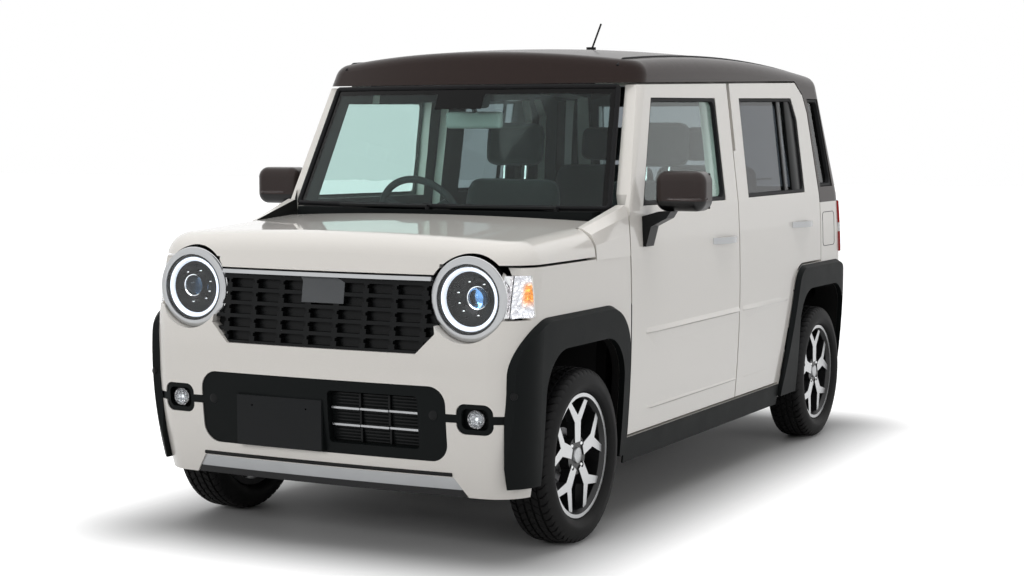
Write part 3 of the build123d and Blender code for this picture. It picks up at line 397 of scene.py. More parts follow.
# finishes of the solid pieces
nodeFinish = dict(
    roof_panel="brownMetallic", mirror_left="mirrorCap", mirror_right="mirrorCap",
    bumper_insert="grainedBlack", arch_mouldings="grainedBlack", cowl_panel="grainedBlack",
    mirror_foot_left="satinBlack", mirror_foot_right="satinBlack", wipers="satinBlack", antenna="satinBlack",
    grille="satinBlack", chrome_bar="satinSilver", skid_plate="skidSilver", headlamps="chromePlate",
    headlamp_lenses="lensGlass", fog_lamps="chromePlate", tail_lamps="tailLens", windscreen="screenGlass",
    window_front_left="clearGlass", window_front_right="clearGlass", window_rear_left="privacyGlass",
    window_rear_right="privacyGlass", quarter_glass="privacyGlass", tailgate_glass="privacyGlass",
    underbody="primedSteel", engine="castMetal", front_suspension="chassisBlack", rear_axle="chassisBlack",
    knuckle_left="castMetal", knuckle_right="castMetal", dashboard="cabinPlastic",
    steering_wheel="cabinPlastic", seats="seatCloth", number_plate="darkPlate",
)
for name, node in nodes.items():
    if name.startswith("handle"):
        choice = "handleChrome"
    elif name.startswith("wheel"):
        choice = "turnedAlloy"
    elif name.startswith("tyre"):
        choice = "tyreRubber"
    else:
        choice = nodeFinish.get(name, "pearlWhite")
    node.data.materials.clear()
    node.data.materials.append(finishes[choice])


def paintFaces(nodeName, finishName, test):  # other finish on the faces that pass the test
    mesh = nodes[nodeName].data
    mesh.materials.append(finishes[finishName])
    slot = len(mesh.materials) - 1
    for face in mesh.polygons:
        if test(face.center, face.normal):
            face.material_index = slot


def sideInner(side):
    return lambda c, n: n.y * side < -0.35 and abs(c.y) < 0.705


for side, label in sides:
    for name in ("body_side_", "door_front_", "door_rear_"):
        paintFaces(name + label, "cabinPlastic", sideInner(side))
paintFaces("tailgate", "cabinPlastic", lambda c, n: n.x > 0.35)
paintFaces("roof_panel", "headliner", lambda c, n: n.z < -0.35 and abs(c.y) < 0.62 and c.z > 1.45)
paintFaces("roof_panel", "cabinPlastic", lambda c, n: n.y * c.y < -0.02 and c.z < 1.5)
paintFaces("headlamps", "turnReflector", lambda c, n: abs(c.y) > 0.655)
sensorPanel = dict(half=0.080, low=0.802, back=1.645)


def onSensor(c, n):
    inside = abs(c.y) < sensorPanel["half"] and c.z > sensorPanel["low"]
    return inside and n.x > 0.7 and c.x > sensorPanel["back"]


paintFaces("grille", "sensorGrey", onSensor)
wheelSpots = dict(front=1.2105, rear=-1.2495, height=0.2895, reach=0.43, skinY=0.685, straight=0.30)


def inArch(centre, normal, axle):  # faces of an arch that look at the wheel, and those behind the outer skin
    across = centre.x - wheelSpots[axle]
    up = centre.z - wheelSpots["height"]
    facing = across * normal.x + up * normal.z < -0.02 and abs(normal.y) < 0.6
    behind = abs(centre.y) < wheelSpots["skinY"] and abs(across) < wheelSpots["straight"]
    return math.hypot(across, up) < wheelSpots["reach"] and (facing or behind)


def sideHidden(c, n):  # inside of the rear quarter, and the pillar foot under the wing
    quarter = n.y * c.y < 0 and c.x < -0.85
    foot = c.x > 0.7 and abs(c.y) < 0.69
    return c.z < 0.8 and (quarter or foot)


for side, label in sides:
    paintFaces("body_side_" + label, "chassisBlack", lambda c, n: inArch(c, n, "rear") or sideHidden(c, n))
    paintFaces("door_rear_" + label, "chassisBlack", lambda c, n: inArch(c, n, "rear"))
    paintFaces("door_front_" + label, "chassisBlack", lambda c, n: n.x > 0.7 and c.z < 0.8)
paintFaces("front_wings", "chassisBlack", lambda c, n: n.y * c.y < -0.1 or inArch(c, n, "front"))
paintFaces("rear_bumper", "chassisBlack", lambda c, n: n.x > 0.3)
paintFaces("bonnet", "chassisBlack", lambda c, n: n.z < -0.4)


def bumperBack(c, n):
    return n.x < -0.3 or (inArch(c, n, "front") and abs(c.y) > 0.5 and n.x < 0.3)


paintFaces("front_bumper", "chassisBlack", bumperBack)
print("solid pieces finished")

skinTrees = {}


def skinHit(nodeName, start, heading):  # first point of a solid piece along a line
    if nodeName not in skinTrees:
        mesh = nodes[nodeName].data
        corners = [v.co for v in mesh.vertices]
        skinTrees[nodeName] = BVHTree.FromPolygons(corners, [f.vertices for f in mesh.polygons])
    point = skinTrees[nodeName].ray_cast(Vector(start), Vector(heading))[0]
    if point is None:
        raise ValueError("no skin of " + nodeName + " at " + str(start))
    return point


def frontHit(nodeName, y, z):
    return skinHit(nodeName, (2.0, y, z), (-1, 0, 0))


def rearHit(nodeName, y, z):
    return skinHit(nodeName, (-3.0, y, z), (1, 0, 0))


def skinLoop(corners, hit, spacing=0.05):  # closed line of skin points, evenly filled between the corners
    line = []
    for first, second in zip(corners, corners[1:] + corners[:1]):
        count = max(1, int((first - second).length / spacing))
        line += [hit(first.lerp(second, step / count)) for step in range(count)]
    return line


# mesh builders
def placePiece(name, mesh, finishName, body):
    mesh.materials.clear()
    mesh.materials.append(finishes[finishName])
    piece = bpy.data.objects.new(name, mesh)
    scene.collection.objects.link(piece)
    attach(piece, body)
    return piece


def showMesh(name, points, faces, finishName, body):
    mesh = bpy.data.meshes.new(name)
    mesh.from_pydata([tuple(p) for p in points], [], faces)
    builder = bmesh.new()
    builder.from_mesh(mesh)
    bmesh.ops.remove_doubles(builder, verts=builder.verts, dist=1e-6)
    bmesh.ops.recalc_face_normals(builder, faces=builder.faces)
    builder.to_mesh(mesh)
    builder.free()
    mesh.shade_smooth()
    mesh.set_sharp_from_angle(angle=math.radians(38))
    return placePiece(name, mesh, finishName, body)


# rows of points to faces: closed joins each row's ends, wrapped joins the last row to the first
def loopFaces(rows, count, closed=True, capped=False, wrapped=False):
    faces = []
    for row in range(rows if wrapped else rows - 1):
        low, high = row * count, (row + 1) % rows * count
        for step in range(count if closed else count - 1):
            after = (step + 1) % count
            faces.append((low + step, low + after, high + after, high + step))
    if capped:
        faces.append(tuple(range(count)))
        faces.append(tuple(reversed(range((rows - 1) * count, rows * count))))
    return faces


def turned(name, profile, origin, axis, finishName, body, steps=64, ring=False):
    axis = Vector(axis).normalized()
    first = axis.orthogonal().normalized()
    second = axis.cross(first)
    points = []
    for radius, along in profile:
        for step in range(steps):
            angle = 2 * math.pi * step / steps
            spread = first * math.cos(angle) + second * math.sin(angle)
            points.append(Vector(origin) + axis * along + spread * radius)
    faces = loopFaces(len(profile), steps, capped=not ring, wrapped=ring)
    return showMesh(name, points, faces, finishName, body)


# chamfered boxes gathered in one mesh
def boxSet(name, boxes, chamfer, finishName, body, segments=2, turn=None):
    points, faces = [], []
    for centre, size in boxes:
        builder = bmesh.new()
        bmesh.ops.create_cube(builder, size=1.0)
        bmesh.ops.scale(builder, vec=Vector(size), verts=builder.verts)
        edges = list(builder.edges)
        bmesh.ops.bevel(builder, geom=edges, offset=chamfer, segments=segments, profile=0.5, affect="EDGES")
        if turn is not None:
            bmesh.ops.transform(builder, matrix=turn, verts=builder.verts)
        builder.verts.index_update()
        start = len(points)
        points += [v.co + Vector(centre) for v in builder.verts]
        faces += [tuple(start + v.index for v in f.verts) for f in builder.faces]
        builder.free()
    return showMesh(name, points, faces, finishName, body)


def roundedBox(name, size, place, finishName, body, radius, turn=None):
    return boxSet(name, [(place, size)], radius, finishName, body, 3, turn)


def offsetOutline(outline, grow):
    area = sum(a[0] * b[1] - b[0] * a[1] for a, b in zip(outline, outline[1:] + outline[:1]))
    turn = 1 if area > 0 else -1
    moved = []
    count = len(outline)
    for index in range(count):
        before, here, after = (Vector(outline[(index + k) % count]) for k in (-1, 0, 1))
        into = (here - before).normalized()
        out = (after - here).normalized()
        normalIn = Vector((into.y, -into.x)) * turn
        normalOut = Vector((out.y, -out.x)) * turn
        half = (normalIn + normalOut).normalized()
        moved.append(tuple(here + half * (grow / max(0.3, half.dot(normalIn)))))
    return moved


def roundedOutline(outline, radius, steps=6):
    points = []
    count = len(outline)
    for index in range(count):
        before, here, after = (Vector(outline[(index + k) % count]) for k in (-1, 0, 1))
        toBefore = (before - here).normalized()
        toAfter = (after - here).normalized()
        spread = toBefore.angle(toAfter) / 2
        reach = min(radius / math.tan(spread), 0.45 * (before - here).length, 0.45 * (after - here).length)
        start = here + toBefore * reach
        end = here + toAfter * reach
        for step in range(steps + 1):
            t = step / steps
            points.append(start * (1 - t) ** 2 + here * 2 * t * (1 - t) + end * t**2)
    return points


def houseSide(z, inset):  # half width of the glass house at a height
    return 0.706 - (z - 1.075) * 77 / 645 - inset


def lowerSide(z, inset):  # half width of the lower body at a height
    if z < 0.640:
        return 0.716 - (0.640 - z) * 26 / 435 - inset
    return 0.716 - (z - 0.640) * 10 / 435 - inset


def sideRing(name, outline, section, side, finishName, body):
    points = []
    for grow, inset, radius in section:
        loop = roundedOutline(offsetOutline(outline, grow), radius)
        points += [(p[0], side * houseSide(p[1], inset), p[1]) for p in loop]
    faces = loopFaces(len(section), len(loop), wrapped=True)
    return showMesh(name, points, faces, finishName, body)


def sidePlate(name, outline, insetOuter, insetInner, side, finishName, body, radius):
    outer = roundedOutline(offsetOutline(outline, -0.003), radius)
    edge = roundedOutline(outline, radius)
    points = []
    for loop, inset in ((outer, insetOuter), (edge, insetOuter + 0.002), (edge, insetInner)):
        points += [(p[0], side * houseSide(p[1], inset), p[1]) for p in loop]
    return showMesh(name, points, loopFaces(3, len(edge), capped=True), finishName, body)


def tube(name, points, radius, finishName, body, closed=False):
    curve = bpy.data.curves.new(name, "CURVE")
    curve.dimensions = "3D"
    curve.bevel_depth = radius
    curve.bevel_resolution = 2
    curve.use_fill_caps = True
    line = curve.splines.new("POLY")
    line.points.add(len(points) - 1)
    for target, point in zip(line.points, points):
        target.co = (*point, 1.0)
    line.use_cyclic_u = closed
    holder = bpy.data.objects.new(name + "Path", curve)
    scene.collection.objects.link(holder)
    bpy.context.view_layer.update()
    mesh = bpy.data.meshes.new_from_object(holder.evaluated_get(bpy.context.evaluated_depsgraph_get()))
    bpy.data.objects.remove(holder)
    mesh.shade_smooth()
    return placePiece(name, mesh, finishName, body)


# tyres with grooves, shoulder blocks and a rim guard
tyreShape = dict(
    wheelY=0.6475, pitches=58, twist=4.0, hubOut=0.048, discIn=0.012, nutCircle=0.05,
    steps=[(0.0, 0.0), (0.06, 1.0), (0.20, 1.0), (0.26, 0.0), (0.63, 0.0)],  # share of a pitch, cut
    discReach=dict(front=0.088, rear=0.120),
)
treadColumns = [  # across, radius, groove depth, cross cut depth, lean of the cut
    (0, 0.2895, 0, 0.0035, 0.9), (0.0095, 0.2895, 0, 0.0035, 0.9), (0.0102, 0.2895, 0.0070, 0, 0.9),
    (0.0170, 0.2894, 0.0070, 0, 0.9), (0.0177, 0.2894, 0, 0.0040, 0.6), (0.0370, 0.2889, 0, 0.0040, 0.6),
    (0.0378, 0.2888, 0.0070, 0, 0.3), (0.0448, 0.2884, 0.0070, 0, 0.3), (0.0456, 0.2884, 0, 0.0055, 0.3),
    (0.0560, 0.2872, 0, 0.0055, 0.2), (0.0640, 0.2840, 0, 0.0050, 0.1), (0.0690, 0.2790, 0, 0.0040, 0),
]
wallColumns = [  # across, radius
    (0.0718, 0.2730), (0.0760, 0.2640), (0.0800, 0.2520), (0.0822, 0.2410), (0.0815, 0.2310),
    (0.0780, 0.2250), (0.0770, 0.2210), (0.0700, 0.2130), (0.0545, 0.2068), (0.0500, 0.1935),
]
hubProfile = [(0.006, 0.009), (0.020, 0.0085), (0.0255, 0.006), (0.028, 0.0), (0.028, -0.004)]
nutProfile = [(0.003, 0.004), (0.0065, 0.002), (0.0082, -0.002), (0.0082, -0.030)]
halfColumns = treadColumns + [(across, radius, 0, 0, 0) for across, radius in wallColumns]
tyreColumns = [(-a, r, d, c, -s) for a, r, d, c, s in reversed(halfColumns[1:])] + halfColumns
for row in ("front", "rear"):
    axleX, axleZ = wheelSpots[row], wheelSpots["height"]
    for side, label in sides:
        corner = row + "_" + label
        body = "wheel_" + corner
        points = []
        for across, radius, groove, cut, lean in tyreColumns:
            for pitch in range(tyreShape["pitches"]):
                for share, depth in tyreShape["steps"]:
                    angle = 2 * math.pi * (pitch + share) / tyreShape["pitches"]
                    angle += lean * across * tyreShape["twist"]
                    reach = radius - max(groove, cut * depth)
                    y = side * tyreShape["wheelY"] + across
                    points.append((axleX + reach * math.sin(angle), y, axleZ + reach * math.cos(angle)))
        faces = loopFaces(len(tyreColumns), len(points) // len(tyreColumns), wrapped=True)
        tyre = showMesh("tread_" + corner, points, faces, "tyreRubber", body)
        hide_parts("tyre_" + corner)
        axis = (0, side, 0)
        face = side * (tyreShape["wheelY"] + tyreShape["hubOut"])
        turned("hubCap_" + corner, hubProfile, (axleX, face, axleZ), axis, "satinSilver", body, 40)
        for nut in range(4):
            angle = math.radians(45 + 90 * nut)
            out, up = tyreShape["nutCircle"] * math.sin(angle), tyreShape["nutCircle"] * math.cos(angle)
            seat = (axleX + out, face, axleZ + up)
            turned("wheelNut_%s_%d" % (corner, nut), nutProfile, seat, axis, "chromePlate", body, 6)
        reach = tyreShape["discReach"][row]
        disc = [(0.066, 0.010), (0.070, 0.004), (reach, 0.004), (reach, -0.008), (0.066, -0.008)]
        inner = (axleX, side * (tyreShape["wheelY"] - tyreShape["discIn"]), axleZ)
        turned("brakeDisc_" + corner, disc, inner, axis, "castMetal", body, 72, ring=True)
print("tyres and wheel fittings made")

# window seals and fixed bars
windowShapes = dict(
    front=[(0.690, 1.092), (0.523, 1.472), (-0.110, 1.480), (-0.118, 1.086)],
    rear=[(-0.372, 1.088), (-0.372, 1.484), (-1.010, 1.494), (-1.062, 1.400), (-1.075, 1.090)],
    quarter=[(-1.222, 1.495), (-1.374, 1.495), (-1.462, 1.108), (-1.290, 1.108)],
)
sealSection = [  # growth of the outline, depth, corner radius
    (-0.0005, 0.016, 0.003), (-0.0005, 0.004, 0.003), (-0.004, 0.001, 0.010), (-0.013, 0.004, 0.026),
    (-0.016, 0.0175, 0.030),
]
quarterSection = [(grow, inset + 0.002, radius) for grow, inset, radius in sealSection]
windowPlates = dict(  # outline, outer depth, corner radius
    Bar=([(-0.838, 1.094), (-0.838, 1.486), (-0.862, 1.486), (-0.862, 1.094)], 0.009, 0.003),
    Sail=(
        [(-0.935, 1.094), (-0.935, 1.489), (-1.005, 1.490), (-1.055, 1.398), (-1.068, 1.095)], 0.008, 0.008,
    ),
)
for side, label in sides:
    for row, outline in windowShapes.items():
        body = "body" if row == "quarter" else "door_" + row + "_" + label
        section = quarterSection if row == "quarter" else sealSection
        sideRing("windowSeal_" + row + "_" + label, outline, section, side, "rubberSeal", body)
    for kind, (outline, depth, radius) in windowPlates.items():
        sidePlate("window" + kind + "_" + label, outline, depth, 0.0178, side, "satinBlack",
                  "door_rear_" + label, radius)
print("window seals made")

# headlamps: satin ring, bright halo, black groove, dark bowl and projector, with the fog lamps below
lampShape = dict(x=1.642, y=0.526, z=0.830, lensBack=0.028, lensOut=0.018, lensUp=0.004, finBack=0.034)
fogShape = dict(x=1.6447, y=0.564, z=0.460)
lampRings = [  # piece, finish, steps, slot, profile
    ("lampBezel_", "satinSilver", 128, "lamp_body", [
        (0.1106, -0.002), (0.1112, 0.0035), (0.116, 0.0055), (0.125, 0.0042), (0.1325, -0.001),
        (0.1335, -0.009), (0.128, -0.008)]),
    ("lampHalo_", "haloGlow", 128, "clear_lens", [
        (0.0855, -0.020), (0.0870, -0.012), (0.0920, -0.0065), (0.0985, -0.0065), (0.101, -0.010),
        (0.101, -0.020)]),
    ("lampGroove_", "satinBlack", 128, "lamp_body", [
        (0.1012, -0.016), (0.1016, -0.0055), (0.109, -0.0052), (0.1095, -0.012)]),
    ("lampBowl_", "satinBlack", 96, "lamp_body", [
        (0.0854, -0.021), (0.076, -0.034), (0.058, -0.044), (0.045, -0.050), (0.020, -0.053),
        (0.020, -0.0555), (0.046, -0.0555), (0.080, -0.045)]),
]
lensProfile = [(0.004, 0.016), (0.016, 0.0135), (0.026, 0.005), (0.031, -0.006), (0.031, -0.024)]
collarProfile = [(0.032, -0.024), (0.033, -0.002), (0.036, -0.001), (0.038, -0.024)]
finSpots = [
    (-0.048, 0.018), (-0.044, -0.014), (-0.030, -0.038), (0.020, -0.050), (-0.010, 0.052), (0.040, 0.046),
]
bowlProfile = [
    (0.007, 0.004), (0.015, 0.0065), (0.0225, 0.0125), (0.0262, 0.0195), (0.0282, 0.0210),
    (0.0300, 0.0195), (0.0300, 0.0),
]
fogBulbProfile = [(0.002, 0.0145), (0.005, 0.0135), (0.0068, 0.010), (0.0068, 0.003)]
fogLensProfile = [(0.004, 0.0205), (0.016, 0.0198), (0.0255, 0.0178), (0.0255, 0.0162), (0.004, 0.0188)]
axis = (1, 0, 0)
for side, label in sides:
    centre = Vector((lampShape["x"], side * lampShape["y"], lampShape["z"]))
    for piece, finishName, steps, slotName, profile in lampRings:
        turned(piece + label, profile, centre, axis, finishName, "body", steps, ring=True)
    lens = centre + Vector((-lampShape["lensBack"], side * lampShape["lensOut"], lampShape["lensUp"]))
    turned("lampProjector_" + label, lensProfile, lens, axis, "blueLens", "body", 48)
    turned("lampCollar_" + label, collarProfile, lens, axis, "chromePlate", "body", 48, True)
    fins = []
    for out, up in finSpots:
        fins.append((centre + Vector((-lampShape["finBack"], side * out, up)), (0.010, 0.009, 0.0035)))
    boxSet("lampFins_" + label, fins, 0.0012, "chromePlate", "body")
    pod = (fogShape["x"], side * fogShape["y"], fogShape["z"])
    bowl = turned("fogReflector_" + label, bowlProfile, pod, axis, "fogBowl", "body", 48, True)
    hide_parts("fog_lamps")
    turned("fogBulb_" + label, fogBulbProfile, pod, axis, "chromePlate", "body", 32)
    turned("fogLens_" + label, fogLensProfile, pod, axis, "lensGlass", "body", 48)
print("headlamp insides made")

# lower grille: slats behind two bright bars, posts, round caps, and a black tube over the skid plate that is
# painted shade of its groove
lowerGrille = dict(
    yLow=0.040, yHigh=0.360, zLow=0.356, zHigh=0.518, slats=15, columns=3, barZ=(0.411, 0.466),
    postY=(0.1467, 0.2533), postHeight=0.054, capY=0.420, capZ=0.466, grooveHalf=0.474, grooveZ=0.2775,
)
slats, posts, bars = [], [], []
slatStep = (lowerGrille["zHigh"] - lowerGrille["zLow"]) / lowerGrille["slats"]
share = (lowerGrille["yHigh"] - lowerGrille["yLow"]) / lowerGrille["columns"]
for column in range(lowerGrille["columns"]):
    middle = lowerGrille["yLow"] + (column + 0.5) * share
    for index in range(lowerGrille["slats"]):
        spot = frontHit("bumper_insert", middle, lowerGrille["zLow"] + (index + 0.5) * slatStep)
        slats.append((spot + Vector((0.002, 0, 0)), (0.006, share - 0.010, 0.0055)))
    for z in lowerGrille["barZ"]:
        spot = frontHit("bumper_insert", middle, z)
        bars.append((spot + Vector((0.008, 0, 0)), (0.018, share, 0.008)))
for y in lowerGrille["postY"]:
    for index in range(3):
        z = lowerGrille["zLow"] + (index + 0.5) * lowerGrille["postHeight"]
        spot = frontHit("bumper_insert", y, z)
        posts.append((spot + Vector((0.005, 0, 0)), (0.012, 0.008, lowerGrille["postHeight"])))
boxSet("grilleSlats", slats, 0.0012, "satinBlack", "body")
boxSet("grillePosts", posts, 0.002, "satinBlack", "body")
boxSet("grilleBars", bars, 0.0022, "skidSilver", "body")
capProfile = [(0.004, 0.0022), (0.013, 0.0018), (0.0155, 0.0006), (0.0165, -0.004)]
for side, label in sides:
    cap = frontHit("bumper_insert", side * lowerGrille["capY"], lowerGrille["capZ"])
    turned("towCap_" + label, capProfile, cap, axis, "satinBlack", "body", 32)
# black tube along the groove over the skid plate: painted shade of the groove
groove = []
for step in range(25):
    y = lowerGrille["grooveHalf"] * (step / 12 - 1)
    groove.append(frontHit("front_bumper", y, lowerGrille["grooveZ"]))
tube("skidGroove", groove, 0.0065, "rubberSeal", "body")
print("lower grille made")

# padded seats
def cushion(name, size, place, lean, crown, radius, channels=(), face=2):
    half = [s / 2 for s in size]
    tuck, channelWidth = 0.012, 0.07
    builder = bmesh.new()
    bmesh.ops.create_cube(builder, size=2.0)
    bmesh.ops.subdivide_edges(builder, edges=list(builder.edges), cuts=9, use_grid_fill=True)
    across = [k for k in range(3) if k != face]
    corner = min(radius, min(half) * 0.98)
    for vert in builder.verts:
        share = vert.co.copy()
        base = Vector([share[k] * half[k] for k in range(3)])
        core = Vector([max(-half[k] + corner, min(half[k] - corner, base[k])) for k in range(3)])
        away = base - core
        if away.length > 1e-9:
            base = core + away.normalized() * corner
        u, v = share[across[0]], share[across[1]]
        swell = (1 - u * u) * (1 - v * v)
        base[face] += math.copysign(crown * swell, share[face]) * (abs(share[face]) > 0.5)
        for k in across:
            base[k] *= 1 - tuck * share[face] ** 2
        if share[face] > 0.5:
            for middle, axisIndex, depth in channels:  # sewn lines
                near = (share[axisIndex] - middle) / channelWidth
                base[face] -= depth * math.exp(-near * near)
        vert.co = base
    turn = Matrix.Rotation(math.radians(lean), 4, "Y")
    bmesh.ops.transform(builder, matrix=Matrix.Translation(Vector(place)) @ turn, verts=builder.verts)
    mesh = bpy.data.meshes.new(name)
    builder.to_mesh(mesh)
    builder.free()
    mesh.shade_smooth()
    piece = placePiece(name, mesh, "seatCloth", "body")
    smoother = piece.modifiers.new("soften", "SUBSURF")
    smoother.levels = 1
    smoother.render_levels = 1
    return piece


seatShape = dict(frontY=0.325, rearY=0.245, postHalf=0.05)
baseLines = [(0.55, 1, 0.012), (-0.55, 1, 0.012)]
backLines = [(0.5, 1, 0.012), (-0.5, 1, 0.012)]
benchLines = [(0.0, 1, 0.010)]
for side, label in sides:
    y, rearY = side * seatShape["frontY"], side * seatShape["rearY"]
    seat = cushion("seatCushion_" + label, (0.50, 0.44, 0.12), (0.03, y, 0.545), -5, 0.022, 0.05, baseLines)
    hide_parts("seats")
    cushion("seatBack_" + label, (0.11, 0.43, 0.60), (-0.262, y, 0.86), -14, 0.018, 0.05, backLines, 0)
    cushion("seatHeadrest_" + label, (0.085, 0.26, 0.18), (-0.338, y, 1.298), -8, 0.012, 0.04, (), 0)
    for index, out in enumerate((-seatShape["postHalf"], seatShape["postHalf"])):
        post = [(-0.325, y + out, 1.12), (-0.336, y + out, 1.24)]
        tube("headrestPost_%s_%d" % (label, index), post, 0.006, "chromePlate", "body")
    roundedBox("seatPlinth_" + label, (0.40, 0.38, 0.215), (0.0, y, 0.378), "cabinPlastic", "body", 0.02)
    cushion("benchCushion_" + label, (0.40, 0.475, 0.11), (-0.70, rearY, 0.548), -4, 0.02, 0.045, benchLines)
    cushion("benchBack_" + label, (0.10, 0.475, 0.62), (-1.005, rearY, 0.90), -14, 0.016, 0.045,
            benchLines, 0)
    cushion("benchHeadrest_" + label, (0.075, 0.24, 0.15), (-1.092, rearY, 1.296), -8, 0.01, 0.035, (), 0)
roundedBox("benchPlinth", (0.22, 0.90, 0.215), (-0.708, 0, 0.378), "cabinPlastic", "body", 0.02)
print("seats made")

# inside mirror, camera housing and seal of the screen
screenBoxes = [  # piece, size, place, finish, radius, slot
    ("insideMirror", (0.030, 0.235, 0.062), (0.610, -0.010, 1.392), "headliner", 0.014, "interior"),
    ("insideMirrorFace", (0.003, 0.222, 0.050), (0.5945, -0.010, 1.392), "mirrorGlass", 0.001, "chrome"),
    ("cameraHousing", (0.060, 0.150, 0.062), (0.668, 0.0, 1.466), "cabinPlastic", 0.016, "interior"),
    ("cameraFace", (0.004, 0.105, 0.036), (0.6985, 0.0, 1.462), "sensorGrey", 0.0015, "interior"),
]
for piece, size, place, finishName, radius, slotName in screenBoxes:
    roundedBox(piece, size, place, finishName, "body", radius)
tube("mirrorStalk", [(0.612, -0.005, 1.42), (0.655, 0.0, 1.462)], 0.009, "cabinPlastic", "body")
screenOutline = [(-0.6385, 1.086), (0.6385, 1.086), (0.5830, 1.5105), (-0.5830, 1.5105)]
screenCorners = [frontHit("windscreen", y, z) for y, z in roundedOutline(screenOutline, 0.012)]
screenLine = skinLoop(screenCorners, lambda spot: frontHit("windscreen", spot.y, spot.z))
tube("screenSeal", screenLine, 0.0095, "rubberSeal", "body", closed=True)
print("screen fittings made")

# door mirrors: glass, its frame and a turn strip
mirrorSet = dict(y=0.838, z=1.144, frameX=0.6105, paneX=0.6068, stripZ=1.118, stripEndX=0.662)
for side, label in sides:
    door, cap = "door_front_" + label, "mirror_" + label
    y, z = side * mirrorSet["y"], mirrorSet["z"]
    roundedBox("mirrorFrame_" + label, (0.006, 0.170, 0.124), (mirrorSet["frameX"], y, z),
               "satinBlack", door, 0.0025)
    roundedBox("mirrorPane_" + label, (0.003, 0.152, 0.106), (mirrorSet["paneX"], y, z),
               "mirrorGlass", door, 0.0012)
    strip = [frontHit(cap, side * (0.800 + 0.122 * step / 12), mirrorSet["stripZ"]) for step in range(12)]
    strip.append(skinHit(cap, (mirrorSet["stripEndX"], side * 1.2, mirrorSet["stripZ"]), (0, -side, 0)))
    tube("turnStrip_" + label, strip, 0.0045, "lensGlass", door)
print("mirror fittings made")

# crowns of the pressed door ledges and black plates behind the handles, painted shade of the handle recesses
ledgeTable = dict(  # height, then x and how far the ledge stands proud
    front=[
        (0.650, [(0.684, 0.0004), (0.600, 0.0050), (-0.240, 0.0036)]),
        (0.377, [(0.682, 0.0004), (0.610, 0.0045), (-0.240, 0.0030)]),
    ],
    rear=[
        (0.650, [(-0.286, 0.0004), (-0.340, 0.0034), (-0.700, 0.0024), (-0.833, 0.0004)]),
        (0.377, [(-0.286, 0.0004), (-0.340, 0.0028), (-0.610, 0.0020), (-0.715, 0.0004)]),
    ],
)
handleSpots = dict(front=(-0.079, 0.935), rear=(-1.002, 0.957))
for row, ledges in ledgeTable.items():
    for side, label in sides:
        panel = row + "_" + label
        door = "door_" + panel
        for index, (z, sections) in enumerate(ledges):
            points = []
            for x, proud in sections:
                crown = ((0.013, 0.0002), (-0.004, 2.3 * proud), (-0.010, proud - 0.0005), (0.006, -0.004))
                points += [(x, side * lowerSide(z + rise, -out), z + rise) for rise, out in crown]
            faces = loopFaces(len(sections), 4, capped=True)
            showMesh("ledgeCrown_%s_%d" % (panel, index), points, faces, "pearlWhite", door)
        x, z = handleSpots[row]
        spot = (x, side * (lowerSide(z, 0) - 0.0008), z)
        # black plate on the skin behind the handle: painted shade of its recess
        roundedBox("handlePocket_" + panel, (0.136, 0.005, 0.036), spot, "satinBlack", door, 0.0022)
print("door ledges and pockets made")

# roof strips, fuel lid, parking sensors
roofStrip = dict(frontX=0.610, length=2.05, y=0.566)
sensorSet = dict(
    y=0.690, z=0.5377, profile=[(0.003, 0.0035), (0.009, 0.003), (0.0115, 0.0015), (0.0125, -0.004)],
)
for side, label in sides:
    strip = []
    for step in range(41):
        x = roofStrip["frontX"] - roofStrip["length"] * step / 40
        strip.append(skinHit("roof_panel", (x, side * roofStrip["y"], 2.2), (0, 0, -1)))
    tube("roofStrip_" + label, strip, 0.0055, "rubberSeal", "body")
    spot = frontHit("arch_mouldings", side * sensorSet["y"], sensorSet["z"])
    turned("parkSensor_" + label, sensorSet["profile"], spot, (0.9, side * 0.42, 0),
           "satinBlack", "body", 32)
lidOutline = [(-1.300, 0.845), (-1.462, 0.845), (-1.462, 0.995), (-1.300, 0.995)]
lidLoop = [skinHit("body_side_left", (x, 1.2, z), (0, -1, 0)) for x, z in roundedOutline(lidOutline, 0.022)]
tube("fuelLidLine", lidLoop, 0.0014, "rubberSeal", "body", closed=True)
print("roof strips, lid line and sensors made")

# rear end: plate with its frame, gate handle, wiper, high stop lamp, reflectors, black valance
rearSet = dict(plateZ=0.790, handleZ=0.948, stopZ=1.527, reflectorZ=0.520, reflectorY=0.560, plateLampY=0.11)
plateSpot = rearHit("tailgate", 0.0, rearSet["plateZ"])
handleSpot = rearHit("tailgate", 0.0, rearSet["handleZ"])
stopSpot = rearHit("tailgate", 0.0, rearSet["stopZ"])
roundedBox("rearPlateFrame", (0.016, 0.390, 0.205), plateSpot, "grainedBlack", "tailgate", 0.006)
roundedBox("rearPlate", (0.004, 0.330, 0.165), plateSpot - Vector((0.009, 0, 0)), "darkPlate",
           "tailgate", 0.0012)
roundedBox("gateHandle", (0.020, 0.560, 0.034), handleSpot, "satinSilver", "tailgate", 0.008)
plateLamps = []
for y in (-rearSet["plateLampY"], rearSet["plateLampY"]):
    plateLamps.append((handleSpot + Vector((-0.004, y, -0.0185)), (0.012, 0.045, 0.006)))
boxSet("plateLamps", plateLamps, 0.002, "lensGlass", "tailgate")
roundedBox("highStopLamp", (0.012, 0.240, 0.016), stopSpot, "redLens", "tailgate", 0.004)
wiperSet = dict(z=1.112, rise=0.06, armOff=0.011, bladeOff=0.0035, bladeY=(0.04, 0.12, 0.20, 0.28, 0.36))
armOff = Vector((wiperSet["armOff"], 0, 0))
bladeOff = Vector((wiperSet["bladeOff"], 0, 0))
arm, blade = [], []
for y in (0.0, 0.10, 0.20):
    arm.append(rearHit("tailgate_glass", y, wiperSet["z"] + wiperSet["rise"] * y) - armOff)
for y in wiperSet["bladeY"]:
    blade.append(rearHit("tailgate_glass", y, wiperSet["z"] + wiperSet["rise"] * y) - bladeOff)
